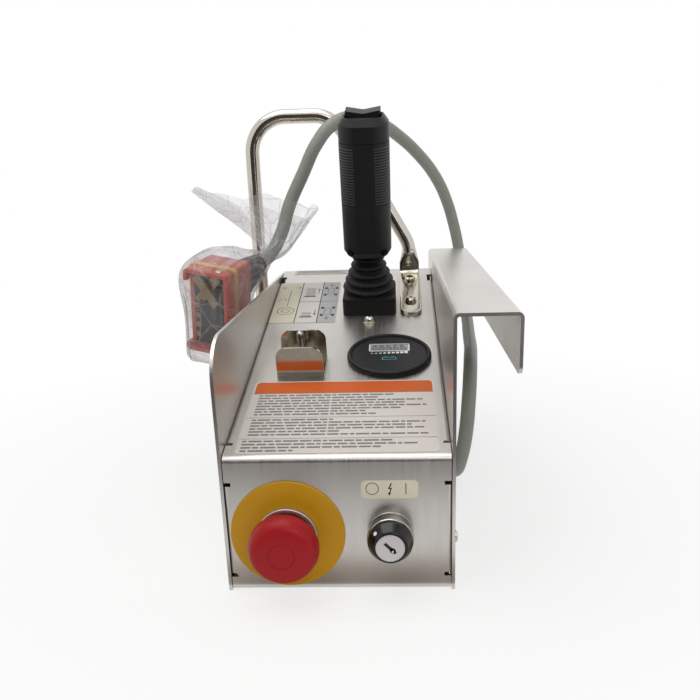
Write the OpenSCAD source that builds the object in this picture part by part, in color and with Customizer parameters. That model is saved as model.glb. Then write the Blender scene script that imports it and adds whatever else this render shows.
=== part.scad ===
// Operator's control box of a scissor lift: a folded stainless console between two guard plates,
// the right one bent over as a hook for the platform's rail.
// Origin: middle of the flat base. +Y points away from the operator, +Z up.

/* [Console] */
// Width over both side plates
box_w = 140; // [125:1:160]
// Length from the front panel to the rear cover
box_l = 290; // [280:1:310]
// Height of the corner between front panel and top panel
front_h = 88; // [84:1:100]
// Height of the top panel's rear edge
rear_h = 161; // [150:1:175]
// Thickness of the console sheet
sheet_t = 2; // [1.5:0.5:2.5]
// Outer radius of the console's cross bends
bend_r = 4; // [3:0.5:6]
// Outer radius of the folds along the sides
fold_r = 2.6; // [2.6:0.2:4]
// Depth of the console's side folds
fold_leg = 16; // [12:1:20]
// Gap between a plain sheet edge and the side plate
seam = 0.5; // [0.2:0.1:1]
// Lower end of the front panel's side folds
front_fold_low = 12; // [10:1:16]
// Upper end of the front panel's side folds
front_fold_high = 70; // [60:1:72]
// Front end of the top panel's side folds, along the slope
top_fold_front = 16; // [14:1:20]
// Rear end of the top panel's side folds, along the slope
top_fold_rear = 264; // [240:1:266]
// Width of a relief notch
relief_w = 4; // [3:0.5:6]
// Length of a small relief notch
relief_l = 2.5; // [2:0.5:4]
// Length of the rear relief notch
rear_relief_l = 14; // [8:1:16]
// Depth of the lip under the front panel
front_lip = 18; // [14:1:24]
// Depth of the lip behind the top panel
rear_lip = 14; // [10:1:18]

/* [Covers] */
// Thickness of the bottom cover
base_t = 1.5; // [1:0.5:2]
// Thickness of the rear cover
rear_t = 1.5; // [1:0.5:2]
// Inset of the bottom cover's edges from the box
base_inset = 4; // [3:0.5:6]
// Corner radius of the covers
cover_r = 6; // [4:1:10]

/* [Side plates] */
// Thickness of the side plates
plate_t = 2; // [1.5:0.5:2.5]
// Height of the left guard plate
guard_h = 158; // [150:1:170]
// Radius of the left plate's front top corner
guard_r = 25; // [15:1:35]
// Width of the inward folds under the side plates
side_leg = 12; // [10:1:14]
// Lower end of the tabs that hold the rear cover
tab_low = 20; // [16:1:30]
// Upper end of the tabs that hold the rear cover
tab_high = 130; // [110:1:140]

/* [Rail hook] */
// Height of the hook's top
hook_h = 172; // [165:1:190]
// Width of the hook beyond the right plate's outer face
hook_w = 36.7; // [34:0.1:45]
// Depth of the hook's outer flange, from its top
hook_drop = 36; // [30:1:45]
// Length of the hook plate
hook_l = 335; // [325:1:345]
// Outer radius of the hook's bends
hook_bend = 3.5; // [3:0.5:5]
// Corner radius of the hook's outer flange
hook_corner = 5; // [3:1:8]

/* [Sheet metal screws] */
// Diameter of the side screws
side_screw_d = 4; // [4:0.5:5]
// Diameter of a side screw's head
side_head_d = 7.6; // [7:0.2:9]
// Height of a side screw's head
side_head_h = 2.2; // [1.8:0.1:2.5]
// Distance of the front side screws from the front panel
side_screw_y = 10; // [9:1:12]
// Height of the front side screws
side_screw_z = 31; // [25:1:50]
// Depth of the upper side screws below the top panel
side_screw_drop = 10; // [9:0.5:11]
// Diameter of the cover screws
cover_screw_d = 3; // [3:0.5:4]
// Distance of the cover screws from the inner face of a side plate
cover_screw_in = 6.5; // [6:0.5:7]
// Clearance of a screw in its hole, on the diameter
hole_play = 0.4; // [0.2:0.1:0.6]

/* [Emergency stop] */
// Sideways place of the emergency stop
stop_x = -31; // [-34:0.5:-28]
// Height of the emergency stop's axis
stop_z = 38.7; // [37:0.1:44]
// Diameter of the yellow ring
stop_ring_d = 69.5; // [60:0.5:70]
// Thickness of the yellow ring
stop_ring_t = 1.2; // [0.8:0.1:2]
// Diameter of the grey collar
stop_collar_d = 36.6; // [34:0.1:38]
// Height of the grey collar over the ring
stop_collar_h = 3.2; // [2.5:0.1:4]
// Diameter of the button's neck
stop_neck_d = 29; // [27:0.5:30]
// Diameter of the mushroom head
stop_head_d = 42; // [38:0.5:44]
// Height of the head's front face over the panel
stop_head_h = 28; // [26:0.5:32]
// Travel of the button
stop_travel = 4; // [3:0.5:4]
// Diameter of the device barrels behind the front panel
barrel_d = 22; // [20:0.5:22.5]
// Length of the device barrels behind the front panel
barrel_l = 16; // [14:1:20]

/* [Key switch] */
// Sideways place of the key switch
key_x = 31; // [28:0.5:33]
// Height of the key switch's axis
key_z = 39; // [36:0.5:42]
// Diameter of the chrome ring
key_ring_d = 28; // [26:0.5:29]
// Height of the chrome ring
key_ring_h = 10; // [8:0.5:12]
// Diameter of the black bezel at its foot
key_bezel_d = 26.8; // [25:0.2:27.5]
// Height of the bezel's foot over the chrome ring
key_bezel_foot = 3; // [2:0.5:4]
// Height of the bezel's taper
key_bezel_taper = 6; // [4:0.5:8]
// Diameter of the turning face
key_face_d = 17; // [15:0.5:18]
// Length of the key slot
key_slot_l = 9; // [7:0.5:10]
// Width of the key slot
key_slot_w = 2; // [1.4:0.1:2.4]
// Angle of the key slot from upright at rest
key_rest = 45; // [30:5:60]

/* [Key label] */
// Width of the key label
key_label_w = 34; // [30:1:36]
// Height of the key label
key_label_h = 11.7; // [10:0.1:13]
// Height of the key label's middle
key_label_z = 67.5; // [65:0.5:70]

/* [Top labels] */
// Thickness of the labels
label_t = 0.3; // [0.2:0.1:0.5]
// Corner radius of the labels
label_r = 3; // [1:0.5:5]
// Width of the large label
warn_w = 122; // [100:1:124]
// Length of the large label along the slope
warn_l = 84; // [70:1:86]
// Distance of the large label from the corner, along the slope
warn_s = 4.4; // [4:0.1:8]
// Width of the diagram label
diagram_w = 53.4; // [48:0.1:54]
// Length of the diagram label along the slope
diagram_l = 82; // [70:1:84]
// Distance of the diagram label from the corner, along the slope
diagram_s = 181.5; // [178:0.5:184]
// Width of the strip label
strip_w = 50; // [40:1:56]
// Length of the strip label along the slope
strip_l = 9; // [6:1:10]
// Distance of the strip label from the corner, along the slope
strip_s = 284; // [281:0.5:285]

/* [Toggle switch] */
// Sideways place of the toggle switch
toggle_x = -31; // [-34:0.5:-28]
// Distance of the toggle from the corner, along the slope
toggle_s = 109.5; // [108:0.5:114]
// Width of the guard
guard_w = 32.6; // [28:0.2:36]
// Length of the guard between the outer faces of its tabs
guard_l = 28.6; // [26:0.2:32]
// Height of the guard's tabs
tab_h = 22.5; // [18:0.5:26]
// Corner radius of the guard's tabs
tab_r = 8; // [4:0.5:12]
// Thickness of the guard
guard_t = 1.5; // [1:0.1:2]
// Height of the lever's tip over the panel
lever_h = 28.5; // [24:0.5:32]
// Diameter of the lever's tip
lever_d = 5.6; // [5:0.1:6]
// Diameter of the toggle's bushing
bushing_d = 12; // [11:0.5:12]
// Height of the bushing over the panel
bushing_h = 8; // [7:0.5:9]

/* [Battery gauge] */
// Sideways place of the gauge
gauge_x = 30.6; // [28:0.1:33]
// Distance of the gauge from the corner, along the slope
gauge_s = 121.7; // [120:0.1:128]
// Diameter of the gauge's bezel
gauge_d = 61; // [56:0.5:63]
// Height of the bezel
gauge_h = 4.6; // [3:0.1:6]
// Diameter of the gauge's face
gauge_face_d = 54; // [48:0.5:54.5]
// Diameter of the gauge's case
gauge_case_d = 52; // [46:0.5:53]
// Depth of the gauge's case
gauge_depth = 36; // [25:1:38]
// Width of the gauge's window
window_w = 28; // [20:0.5:32]
// Length of the window along the slope
window_l = 10; // [6:0.5:12]
// Distance of the window from the gauge's middle
window_up = 9.5; // [8:0.5:14]

/* [Joystick] */
// Sideways place of the joystick
stick_x = 14.2; // [12:0.2:16]
// Distance of the joystick from the corner, along the slope
stick_s = 214; // [210:1:218]
// Width of the square base
stick_base_w = 43; // [40:0.5:46]
// Height of the square base
stick_base_h = 14; // [10:0.5:16]
// Depth of the pivot below the panel's surface
pivot_depth = 10; // [9:0.5:12]
// Tilt of the joystick each way
stick_tilt = 18; // [10:1:18]
// Diameter of the joystick's shaft
shaft_d = 10; // [8:0.5:11]
// Height of the grip's lower edge
grip_low = 47; // [46:0.5:50]
// Height of the grip's upper edge
grip_high = 134; // [120:1:140]
// Width of the grip
grip_w = 37.4; // [34:0.2:39]
// Depth of the grip
grip_deep = 40; // [36:0.5:42]
// Corner radius of the grip
grip_r = 14; // [10:0.5:17]
// Wall of the grip's shells
grip_wall = 3; // [2.5:0.5:4]
// Height of the head over the grip
head_h = 16.5; // [14:0.5:18]
// Width of the thumb rocker
rocker_w = 25.4; // [20:0.2:28]
// Height of the rocker's ends over the head
rocker_h = 4.6; // [3:0.2:6]
// Tilt of the rocker each way
rocker_tilt = 9; // [6:1:9]
// Width of the trigger
trigger_w = 14; // [10:1:16]
// Length of the trigger
trigger_l = 44; // [36:1:50]
// Swing of the trigger
trigger_tilt = 6; // [4:1:7]
// Size of the joystick's controller case
controller_w = 56; // [50:1:60]
// Depth of the joystick's controller case
controller_h = 46; // [40:1:50]

/* [Handle] */
// Diameter of the handle's tube
tube_d = 12; // [10:0.5:14]
// Distance of the handle's plane from the front panel
handle_y = 270; // [268:1:276]
// Height of the handle's top run
handle_z = 293.5; // [280:0.5:310]
// Sideways place of the left leg's axis
left_leg_x = -87.5; // [-92:0.5:-85]
// Sideways place of the right leg's axis
right_leg_x = 48; // [46:0.5:50]
// Bend radius of the tube's axis
handle_bend = 30; // [24:1:34]
// Slant of the right leg from level
handle_slant = 60; // [56:1:64]
// Height of the bend between the slant and the right leg
handle_knee = 183; // [181:0.5:186]
// Width of the flattened feet
foot_w = 17.5; // [16:0.5:19]
// Thickness of the flattened feet
foot_t = 3.2; // [3:0.1:4]
// Front end of the right foot, along the slope
foot_s = 190.5; // [186:0.5:194]
// Rear screw of the right foot, along the slope
foot_screw_rear = 258.3; // [254:0.5:260]
// Front screw of the right foot, along the slope
foot_screw_front = 213.4; // [208:0.5:220]
// Lower end of the left foot
left_foot_low = 50; // [40:1:60]
// Upper end of the left foot
left_foot_high = 106; // [100:1:112]
// Diameter of the handle screws
handle_screw_d = 5; // [5:0.5:6]

/* [Cable and connector] */
// Diameter of the cable
cable_d = 11; // [10:0.5:11.5]
// Sideways place of the cable gland
gland_x = 12; // [10:1:16]
// Height of the cable gland
gland_z = 76; // [70:1:80]
// Width of the gland's hexagon across its flats
gland_hex = 24; // [22:1:27]
// Length of the tapered boot behind the gland
boot_l = 22; // [18:1:26]
// Width of the connector's housing
plug_w = 36.5; // [34:0.5:38]
// Height of the connector's housing
plug_h = 66; // [60:1:68]
// Depth of the connector's housing
plug_deep = 38; // [34:1:40]
// Wall of the connector's housing
plug_wall = 3; // [2.5:0.5:4]

/* [Hidden] */
$fn = 64;

// Overrun of every cut
over = 1;
// Radial running fit of a turning or sliding piece
fit = 0.05;
// Clearance between separate pieces
gap = 0.3;
// Halves
half = 1 / 2;

// Derived sizes of the console
front_y = -box_l / 2;
rear_y = box_l / 2;
cover_y = rear_y - rear_t;
inner_w = box_w - 2 * plate_t;
slope = atan2(rear_h - front_h, box_l);
fold_in_r = fold_r - sheet_t;
front_tan = bend_r * tan((90 - slope) / 2);
rear_tan = bend_r * tan((90 + slope) / 2);
top_l = (cover_y - front_y) / cos(slope);
front_bend_z = front_h + bend_r * tan(slope) - bend_r / cos(slope);
rear_bend_y = cover_y - bend_r;
rear_bend_z = top_z(rear_bend_y) - bend_r / cos(slope);
plain_w = inner_w - 2 * seam;

// Height of the top panel's surface at a distance y
function top_z(y) = front_h + (y - front_y) * tan(slope);
// Distance along the slope of a point above the panel
function slope_s(y, z) = (y - front_y) * cos(slope) + (z - front_h) * sin(slope);

// Local frames: z points out of the panel
module on_front(x, z) translate([x, front_y, z]) rotate([90, 0, 0]) children();
module on_top(x, s) translate([x, front_y, front_h]) rotate([slope, 0, 0]) translate([0, s, 0]) children();
module both_sides() {
    children();
    mirror([1, 0, 0]) children();
}

// Cylinder shell, rounded plate and bend
module ring(d_out, d_in, h) difference() {
    cylinder(d = d_out, h = h);
    translate([0, 0, -over]) cylinder(d = d_in, h = h + 2 * over);
}
module round_rect(w, l, r) {
    square([w - 2 * r, l], center = true);
    square([w, l - 2 * r], center = true);
    for (x = [-1, 1], y = [-1, 1]) translate([x * (w / 2 - r), y * (l / 2 - r)]) circle(r);
}
module round_plate(w, l, r, t) linear_extrude(t) round_rect(w, l, r);
// Bends run a degree into what they join, and are a hair thinner
lap = 1;
trim = fit / 5;
module turn(a0, a1) rotate([0, 0, a0 - lap]) rotate_extrude(angle = a1 - a0 + 2 * lap) children();
// Bend across the box about a line along X; angles run from +Y to +Z
module cross_bend(w, y, z, r_out, t, a0, a1) translate([-w / 2, y, z]) rotate([90, 0, 90])
    turn(a0, a1) translate([r_out - t + trim, trim]) square([t - 2 * trim, w - 2 * trim]);
// Side fold of the console: outer corner at the origin, panel face along -Y, edge along Z
module side_fold(len) translate([-fold_r, fold_r, 0]) {
    turn(-90, 0) translate([fold_in_r + trim, trim]) square([sheet_t - 2 * trim, len - 2 * trim]);
    translate([fold_in_r, 0, 0]) cube([sheet_t, fold_leg - fold_r, len]);
    translate([-over, -fold_r, 0]) cube([over + fit, sheet_t, len]);
}

// Places of the screws
side_lower = [[front_y + side_screw_y, side_screw_z]];
upper_screw_shares = [0.33, 0.77];
side_upper = [for (k = upper_screw_shares) [
    front_y + k * top_l * cos(slope) + side_screw_drop * sin(slope),
    front_h + k * top_l * sin(slope) - side_screw_drop * cos(slope)]];
side_places = concat(side_lower, side_upper);
cover_x = inner_w / 2 - cover_screw_in;
base_screw_shares = [-0.8, 0, 0.8];
base_places = [for (k = base_screw_shares) k * box_l / 2];
rear_places = [tab_low + side_leg, tab_high - side_leg];
screw_hole = side_screw_d + hole_play;

module console_sheet() color("silver") difference() {
    union() {
        difference() {
            sheet_band(plain_w);
            both_sides() {
                translate([plain_w / 2 - relief_w, front_y - over, front_fold_low - relief_l])
                    cube([relief_w + over, sheet_t + 2 * over, relief_l]);
                translate([plain_w / 2 - relief_w, front_y - over, front_fold_high])
                    cube([relief_w + over, sheet_t + 2 * over, relief_l]);
                translate([inner_w / 2 - fold_r, front_y - over, front_fold_low - over / 2])
                    cube([fold_r + over, sheet_t + 2 * over, front_fold_high - front_fold_low + over]);
                on_top(plain_w / 2 - relief_w, top_fold_front - relief_l) translate([0, 0, -sheet_t - over])
                    cube([relief_w + over, relief_l, sheet_t + 2 * over]);
                on_top(plain_w / 2 - relief_w, top_fold_rear) translate([0, 0, -sheet_t - over])
                    cube([relief_w + over, rear_relief_l, sheet_t + 2 * over]);
                on_top(inner_w / 2 - fold_r, top_fold_front - over / 2) translate([0, 0, -sheet_t - over])
                    cube([fold_r + over, top_fold_rear - top_fold_front + over, sheet_t + 2 * over]);
            }
        }
        both_sides() {
            translate([inner_w / 2, front_y, front_fold_low]) side_fold(front_fold_high - front_fold_low);
            on_top(inner_w / 2, top_fold_front) rotate([-90, 0, 0]) side_fold(top_fold_rear - top_fold_front);
        }
    }
    on_front(stop_x, stop_z) panel_hole(barrel_d + hole_play);
    on_front(key_x, key_z) panel_hole(barrel_d + hole_play);
    on_top(toggle_x, toggle_s) panel_hole(bushing_d + hole_play);
    on_top(gauge_x, gauge_s) panel_hole(gauge_case_d + hole_play);
    on_top(stick_x, stick_s) panel_hole(stick_hole_d);
    for (s = stick_screws) on_top(stick_x, s) panel_hole(screw_hole);
    for (s = foot_screws) on_top(right_leg_x, s) panel_hole(handle_screw_d + hole_play);
    side_drill(screw_hole);
}
module panel_hole(d) translate([0, 0, -sheet_t - over]) cylinder(d = d, h = sheet_t + 2 * over);
// Bores of the side screws through plates and folds
module side_drill(d) for (p = side_places) translate([-box_w / 2 - over, p.x, p.y]) rotate([0, 90, 0])
    cylinder(d = d, h = box_w + 2 * over);
// Plain band of sheet: lip, front panel, top panel and rear lip
module sheet_band(w) {
    translate([-w / 2, front_y + bend_r, 0]) cube([w, front_lip - bend_r, sheet_t]);
    cross_bend(w, front_y + bend_r, bend_r, bend_r, sheet_t, 180, 270);
    translate([-w / 2, front_y, bend_r]) cube([w, sheet_t, front_bend_z - bend_r]);
    cross_bend(w, front_y + bend_r, front_bend_z, bend_r, sheet_t, 90 + slope, 180);
    on_top(-w / 2, front_tan) translate([0, 0, -sheet_t]) cube([w, top_l - front_tan - rear_tan, sheet_t]);
    cross_bend(w, rear_bend_y, rear_bend_z, bend_r, sheet_t, 0, 90 + slope);
    translate([-w / 2, cover_y - sheet_t, rear_bend_z - rear_lip]) cube([w, sheet_t, rear_lip]);
}

// Outline of a side plate as (distance from the front, height)
module plate_corner(l, h, r) {
    translate([r, 0]) square([l - r, h]);
    square([l, h - r]);
    translate([r, h - r]) circle(r);
}
// Inner folds of a side plate on the right: under the cover line and at the rear
module plate_folds() {
    translate([inner_w / 2 - side_leg, front_y + front_lip + over, base_t])
        cube([side_leg, cover_y - front_y - front_lip - over, plate_t]);
    translate([inner_w / 2 - side_leg, cover_y - plate_t, tab_low])
        cube([side_leg, plate_t, tab_high - tab_low]);
}
module plate_drills() {
    side_drill(screw_hole);
    both_sides() {
        for (y = base_places) translate([cover_x, y, base_t - over])
            cylinder(d = cover_screw_d + hole_play, h = plate_t + 2 * over);
        for (z = rear_places) translate([cover_x, cover_y + over, z]) rotate([90, 0, 0])
            cylinder(d = cover_screw_d + hole_play, h = plate_t + 2 * over);
    }
}
module left_side_plate() color("silver") difference() {
    union() {
        translate([-box_w / 2, front_y, 0]) rotate([90, 0, 90])
            linear_extrude(plate_t) plate_corner(box_l, guard_h, guard_r);
        mirror([1, 0, 0]) plate_folds();
    }
    plate_drills();
    for (z = left_screws) translate([-box_w / 2 - over, foot_y, z]) rotate([0, 90, 0])
        cylinder(d = handle_screw_d + hole_play, h = plate_t + 2 * over);
}
hook_x = inner_w / 2 + hook_bend;
hook_out = box_w / 2 + hook_w;
module right_hook_plate() color("silver") difference() {
    union() {
        translate([inner_w / 2, front_y, 0]) cube([plate_t, hook_l, hook_h - hook_bend]);
        hook_turn(hook_x, 90);
        translate([hook_x, front_y, hook_h - plate_t]) cube([hook_out - hook_bend - hook_x, hook_l, plate_t]);
        hook_turn(hook_out - hook_bend, 0);
        translate([hook_out - plate_t, front_y, hook_h - hook_bend]) rotate([90, 0, 90]) mirror([0, 1, 0])
            linear_extrude(plate_t) hook_outline(hook_l, hook_drop - hook_bend, hook_corner);
        plate_folds();
    }
    plate_drills();
}
module hook_turn(x, a) translate([x, front_y, hook_h - hook_bend]) rotate([-90, 0, 0])
    turn(-a - 90, -a) translate([hook_bend - plate_t + trim, trim]) square([plate_t - 2 * trim, hook_l - 2 * trim]);
module hook_outline(l, h, r) {
    square([l, h - r]);
    translate([r, 0]) square([l - 2 * r, h]);
    for (x = [r, l - r]) translate([x, h - r]) circle(r);
}
module rear_cover() color("silver") difference() {
    translate([0, rear_y, rear_cover_h / 2 + gap]) rotate([90, 0, 0])
        round_plate(inner_w - 2 * seam, rear_cover_h, cover_r, rear_t);
    for (x = [-cover_x, cover_x], z = rear_places) translate([x, rear_y + over, z]) rotate([90, 0, 0])
        cylinder(d = cover_screw_d + hole_play, h = rear_t + 2 * over);
    translate([gland_x, rear_y + over, gland_z]) rotate([90, 0, 0])
        cylinder(d = gland_thread_d + hole_play, h = rear_t + 2 * over);
}
rear_cover_h = rear_bend_z - gap;
base_l = cover_y - front_y - front_lip - 2 * seam;
base_y = (cover_y + front_y + front_lip) / 2;
module bottom_cover() color("silver") difference() {
    translate([0, base_y, 0]) round_plate(inner_w - 2 * seam, base_l, cover_r, base_t);
    for (x = [-cover_x, cover_x], y = base_places) translate([x, y, -over])
        cylinder(d = cover_screw_d + hole_play, h = base_t + 2 * over);
    for (p = standoff_places) translate([p.x, p.y, -over])
        cylinder(d = cover_screw_d + hole_play, h = base_t + 2 * over);
}

// Screw with a low round head: head above z = 0, shank below
module round_screw(d, head_d, head_h, len) {
    translate([0, 0, -len]) cylinder(d = d, h = len + head_h * half);
    cylinder(d = head_d, h = head_h * half);
    difference() {
        translate([0, 0, head_h * half]) cylinder(d1 = head_d, d2 = head_d * head_top_share, h = head_h * half);
        translate([0, 0, head_h * half]) cylinder(d = d * socket_share, h = head_h, $fn = 6);
    }
}
head_top_share = 0.7;
socket_share = 0.6;
nut_share = 1.9;
nut_h_share = 0.8;
module hex_nut(d) difference() {
    cylinder(d = d * nut_share, h = d * nut_h_share, $fn = 6);
    translate([0, 0, -over]) cylinder(d = d, h = d * nut_h_share + 2 * over);
}
screw_grip = plate_t + sheet_t;
module side_screws() color("gainsboro") both_sides() for (p = side_places)
    translate([box_w / 2, p.x, p.y]) rotate([0, 90, 0])
        round_screw(side_screw_d, side_head_d, side_head_h, screw_grip + side_screw_d * nut_h_share + over);
module side_nuts() color("gainsboro") both_sides() for (p = side_places)
    translate([inner_w / 2 - sheet_t, p.x, p.y]) rotate([0, -90, 0]) hex_nut(side_screw_d);
module cover_screws() color("gainsboro") {
    for (x = [-cover_x, cover_x], z = rear_places) translate([x, rear_y, z]) rotate([-90, 0, 0])
        round_screw(cover_screw_d, cover_head_d, cover_head_h, rear_t + plate_t + over);
    for (x = [-cover_x, cover_x], y = base_places) translate([x, y, 0])
        cylinder(d = cover_screw_d, h = base_t + plate_t + over);
}
cover_head_d = cover_screw_d * nut_share;
cover_head_h = cover_screw_d * half;

module warning_label() color("ivory") on_top(0, warn_s + warn_l / 2) round_plate(warn_w, warn_l, label_r, label_t);
diagram_in = 1.4;
module diagram_label() color("ivory") on_top(-inner_w / 2 + diagram_in + diagram_w / 2, diagram_s + diagram_l / 2)
    round_plate(diagram_w, diagram_l, label_r, label_t);
strip_edge = 11;
module strip_label() color("gold") on_top(-inner_w / 2 + strip_edge + strip_w / 2, strip_s + strip_l / 2)
    round_plate(strip_w, strip_l, label_t, label_t);
module key_label() color("gold") on_front(key_x, key_label_z) round_plate(key_label_w, key_label_h, label_r, label_t);

// Emergency stop
pocket_d = stop_neck_d + 2 * gap;
pocket_z = stop_ring_t + gap;
stem_d = 8;
stem_end = -barrel_l + stop_travel + over;
neck_z = pocket_z + stop_travel + gap / 2;
head_share = 0.58;
module place_stop() on_front(stop_x, stop_z) children();
module stop_ring() color("gold") place_stop() ring(stop_ring_d, pocket_d + 2 * fit, stop_ring_t);
module stop_collar() color("dimgray") place_stop() difference() {
    union() {
        translate([0, 0, stop_ring_t]) cylinder(d = stop_collar_d, h = stop_collar_h);
        cylinder(d = pocket_d, h = stop_ring_t + gap);
        translate([0, 0, -barrel_l]) cylinder(d = barrel_d, h = barrel_l);
    }
    translate([0, 0, pocket_z]) cylinder(d = pocket_d, h = stop_collar_h + over);
    translate([0, 0, -barrel_l - over]) cylinder(d = stem_d + 2 * fit, h = barrel_l + pocket_z + 2 * over);
}
head_z = stop_head_h * head_share;
head_r = stop_head_d / 2;
crown = stop_head_h - head_z;
shoulder_share = 0.8;
face_edge_share = 0.75;
crown_low_share = 0.35;
// Outline of the mushroom from the neck to the face, its edge rounded by a formula
mushroom = concat(
    [[0, neck_z], [stop_neck_d / 2, neck_z], [stop_neck_d / 2, head_z * shoulder_share]],
    [for (a = [0:15:90]) [stop_neck_d / 2 + (head_r - stop_neck_d / 2) * sin(a),
        head_z * shoulder_share + head_z * (1 - shoulder_share) * (1 - cos(a))]],
    [for (a = [0:10:90]) [head_r - crown * face_edge_share * (1 - cos(a)),
        head_z + crown * crown_low_share + crown * (1 - crown_low_share) * sin(a)]],
    [[0, stop_head_h]]);
module stop_button() color("firebrick") place_stop() {
    rotate_extrude() polygon(mushroom);
    translate([0, 0, stem_end]) cylinder(d = stem_d, h = neck_z - stem_end + over);
}
module place_key() on_front(key_x, key_z) children();
nut_af = 27;
nut_t = 5;
module ring_nuts() color("dimgray") for (x = [stop_x, key_x]) on_front(x, x == key_x ? key_z : stop_z)
    translate([0, 0, -sheet_t - nut_t]) difference() {
        cylinder(d = nut_af / cos(30), h = nut_t, $fn = 6);
        translate([0, 0, -over]) cylinder(d = barrel_d, h = nut_t + 2 * over);
    }
block_w = 28;
block_h = 42;
block_l = 24;
block_r = 0.9;
block_screw_share = 0.35;
module contact_blocks() color("darkgreen") for (x = [stop_x, key_x]) on_front(x, x == key_x ? key_z : stop_z)
    translate([0, 0, -barrel_l - block_l]) difference() {
        linear_extrude(block_l) round_rect(block_w, block_h, block_r);
        translate([0, 0, block_l - over]) cylinder(d = stem_d + 2 * over, h = 2 * over);
        for (y = [-1, 1]) translate([0, y * block_h * block_screw_share, -over]) cylinder(d = stem_d * half, h = nut_t + over);
    }

// Key switch
bezel_top = key_ring_h + key_bezel_foot + key_bezel_taper;
bezel_small_d = key_face_d + 2 * over;
slot_deep = 3;
module key_ring() color("silver") place_key() difference() {
    union() {
        cylinder(d = key_ring_d, h = key_ring_h - over);
        translate([0, 0, key_ring_h - over]) cylinder(d1 = key_ring_d, d2 = key_ring_d - over, h = over);
    }
    translate([0, 0, -over]) cylinder(d = barrel_d, h = key_ring_h + 2 * over);
}
module key_bezel() color("black") place_key() difference() {
    union() {
        translate([0, 0, key_ring_h]) cylinder(d = key_bezel_d, h = key_bezel_foot);
        translate([0, 0, key_ring_h + key_bezel_foot]) cylinder(d1 = key_bezel_d, d2 = bezel_small_d, h = key_bezel_taper);
        translate([0, 0, -barrel_l]) cylinder(d = barrel_d, h = barrel_l + key_ring_h);
    }
    translate([0, 0, -barrel_l - over]) cylinder(d = key_face_d + 2 * fit, h = barrel_l + bezel_top + 2 * over);
}
module key_core() color("whitesmoke") place_key() rotate([0, 0, key_rest]) difference() {
    translate([0, 0, -barrel_l + gap]) cylinder(d = key_face_d, h = barrel_l + bezel_top);
    translate([-key_slot_w / 2, -key_slot_l / 2, bezel_top + gap - slot_deep]) cube([key_slot_w, key_slot_l, slot_deep + over]);
}

// Toggle switch
module place_toggle() on_top(toggle_x, toggle_s) children();
ball_d = 6.8;
lever_z = bushing_h * half;
lever_foot_share = 0.6;
lever_foot_d = lever_d * lever_foot_share;
toggle_nut_h = 2.5;
toggle_nut_d = 17;
module toggle_guard() color("silver") place_toggle() difference() {
    union() {
        translate([0, 0, guard_t / 2]) cube([guard_w, guard_l, guard_t], center = true);
        for (y = [-guard_l / 2 + guard_t, guard_l / 2]) translate([0, y, 0]) rotate([90, 0, 0]) linear_extrude(guard_t) {
            translate([-guard_w / 2, 0]) square([guard_w, tab_h - tab_r]);
            translate([-guard_w / 2 + tab_r, 0]) square([guard_w - 2 * tab_r, tab_h]);
            for (x = [-1, 1]) translate([x * (guard_w / 2 - tab_r), tab_h - tab_r]) circle(tab_r);
        }
    }
    translate([0, 0, -over]) cylinder(d = bushing_d + hole_play, h = guard_t + 2 * over);
}
toggle_body_h = 22;
toggle_body_w = 20;
toggle_body_l = 28;
module toggle_bushing() color("gainsboro") place_toggle() difference() {
    union() {
        translate([0, 0, -sheet_t]) cylinder(d = bushing_d, h = bushing_h + sheet_t);
        translate([0, 0, -sheet_t - over]) cylinder(d = toggle_body_w - over, h = over);
    }
    translate([0, 0, -sheet_t - 2 * over]) cylinder(d = ball_d + 2 * fit, h = bushing_h + sheet_t + 3 * over);
}
module toggle_nut() color("gainsboro") place_toggle() translate([0, 0, guard_t]) difference() {
    cylinder(d = toggle_nut_d, h = toggle_nut_h, $fn = 6);
    translate([0, 0, -over]) cylinder(d = bushing_d, h = toggle_nut_h + 2 * over);
}
module toggle_lever() color("gainsboro") place_toggle() {
    translate([0, 0, lever_z]) sphere(d = ball_d);
    translate([0, 0, lever_z]) cylinder(d1 = lever_foot_d, d2 = lever_d, h = lever_h - lever_z - lever_d / 2);
    translate([0, 0, lever_h - lever_d / 2]) sphere(d = lever_d);
}
module toggle_body() color("black") place_toggle() {
    translate([0, 0, -sheet_t - over - toggle_body_h / 2]) cube([toggle_body_w, toggle_body_l, toggle_body_h], center = true);
    for (x = [-1, 1], y = [-1, 0, 1])
        translate([x * toggle_body_w / 4, y * toggle_body_l / 3, -sheet_t - over - toggle_body_h - nut_t])
            cylinder(d = over, h = nut_t + over);
}

// Battery gauge
module place_gauge() on_top(gauge_x, gauge_s) children();
face_z = 1.2;
face_t = 1.8;
case_wall = 2;
module gauge_case() color("black") place_gauge() difference() {
    union() {
        cylinder(d = gauge_d, h = gauge_h - over);
        translate([0, 0, gauge_h - over]) cylinder(d1 = gauge_d, d2 = gauge_d - 2 * over, h = over);
        translate([0, 0, -gauge_depth]) cylinder(d = gauge_case_d, h = gauge_depth);
    }
    translate([0, 0, face_z]) cylinder(d = gauge_face_d, h = gauge_h);
    translate([0, 0, -gauge_depth + case_wall]) cylinder(d = gauge_case_d - 2 * case_wall, h = gauge_depth);
}
module gauge_face() color("dimgray") place_gauge() difference() {
    translate([0, 0, face_z]) cylinder(d = gauge_face_d, h = face_t);
    translate([0, window_up, face_z]) cube([window_w, window_l, 3 * face_t], center = true);
}
module gauge_window() color("darkslategray") place_gauge() translate([0, window_up, face_z + face_t / 2 - gap])
    cube([window_w, window_l, face_t], center = true);
stud_d = 4;
stud_l = 22;
clamp_t = 2;
clamp_w = 14;
clamp_z = -gauge_depth - clamp_t;
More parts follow.
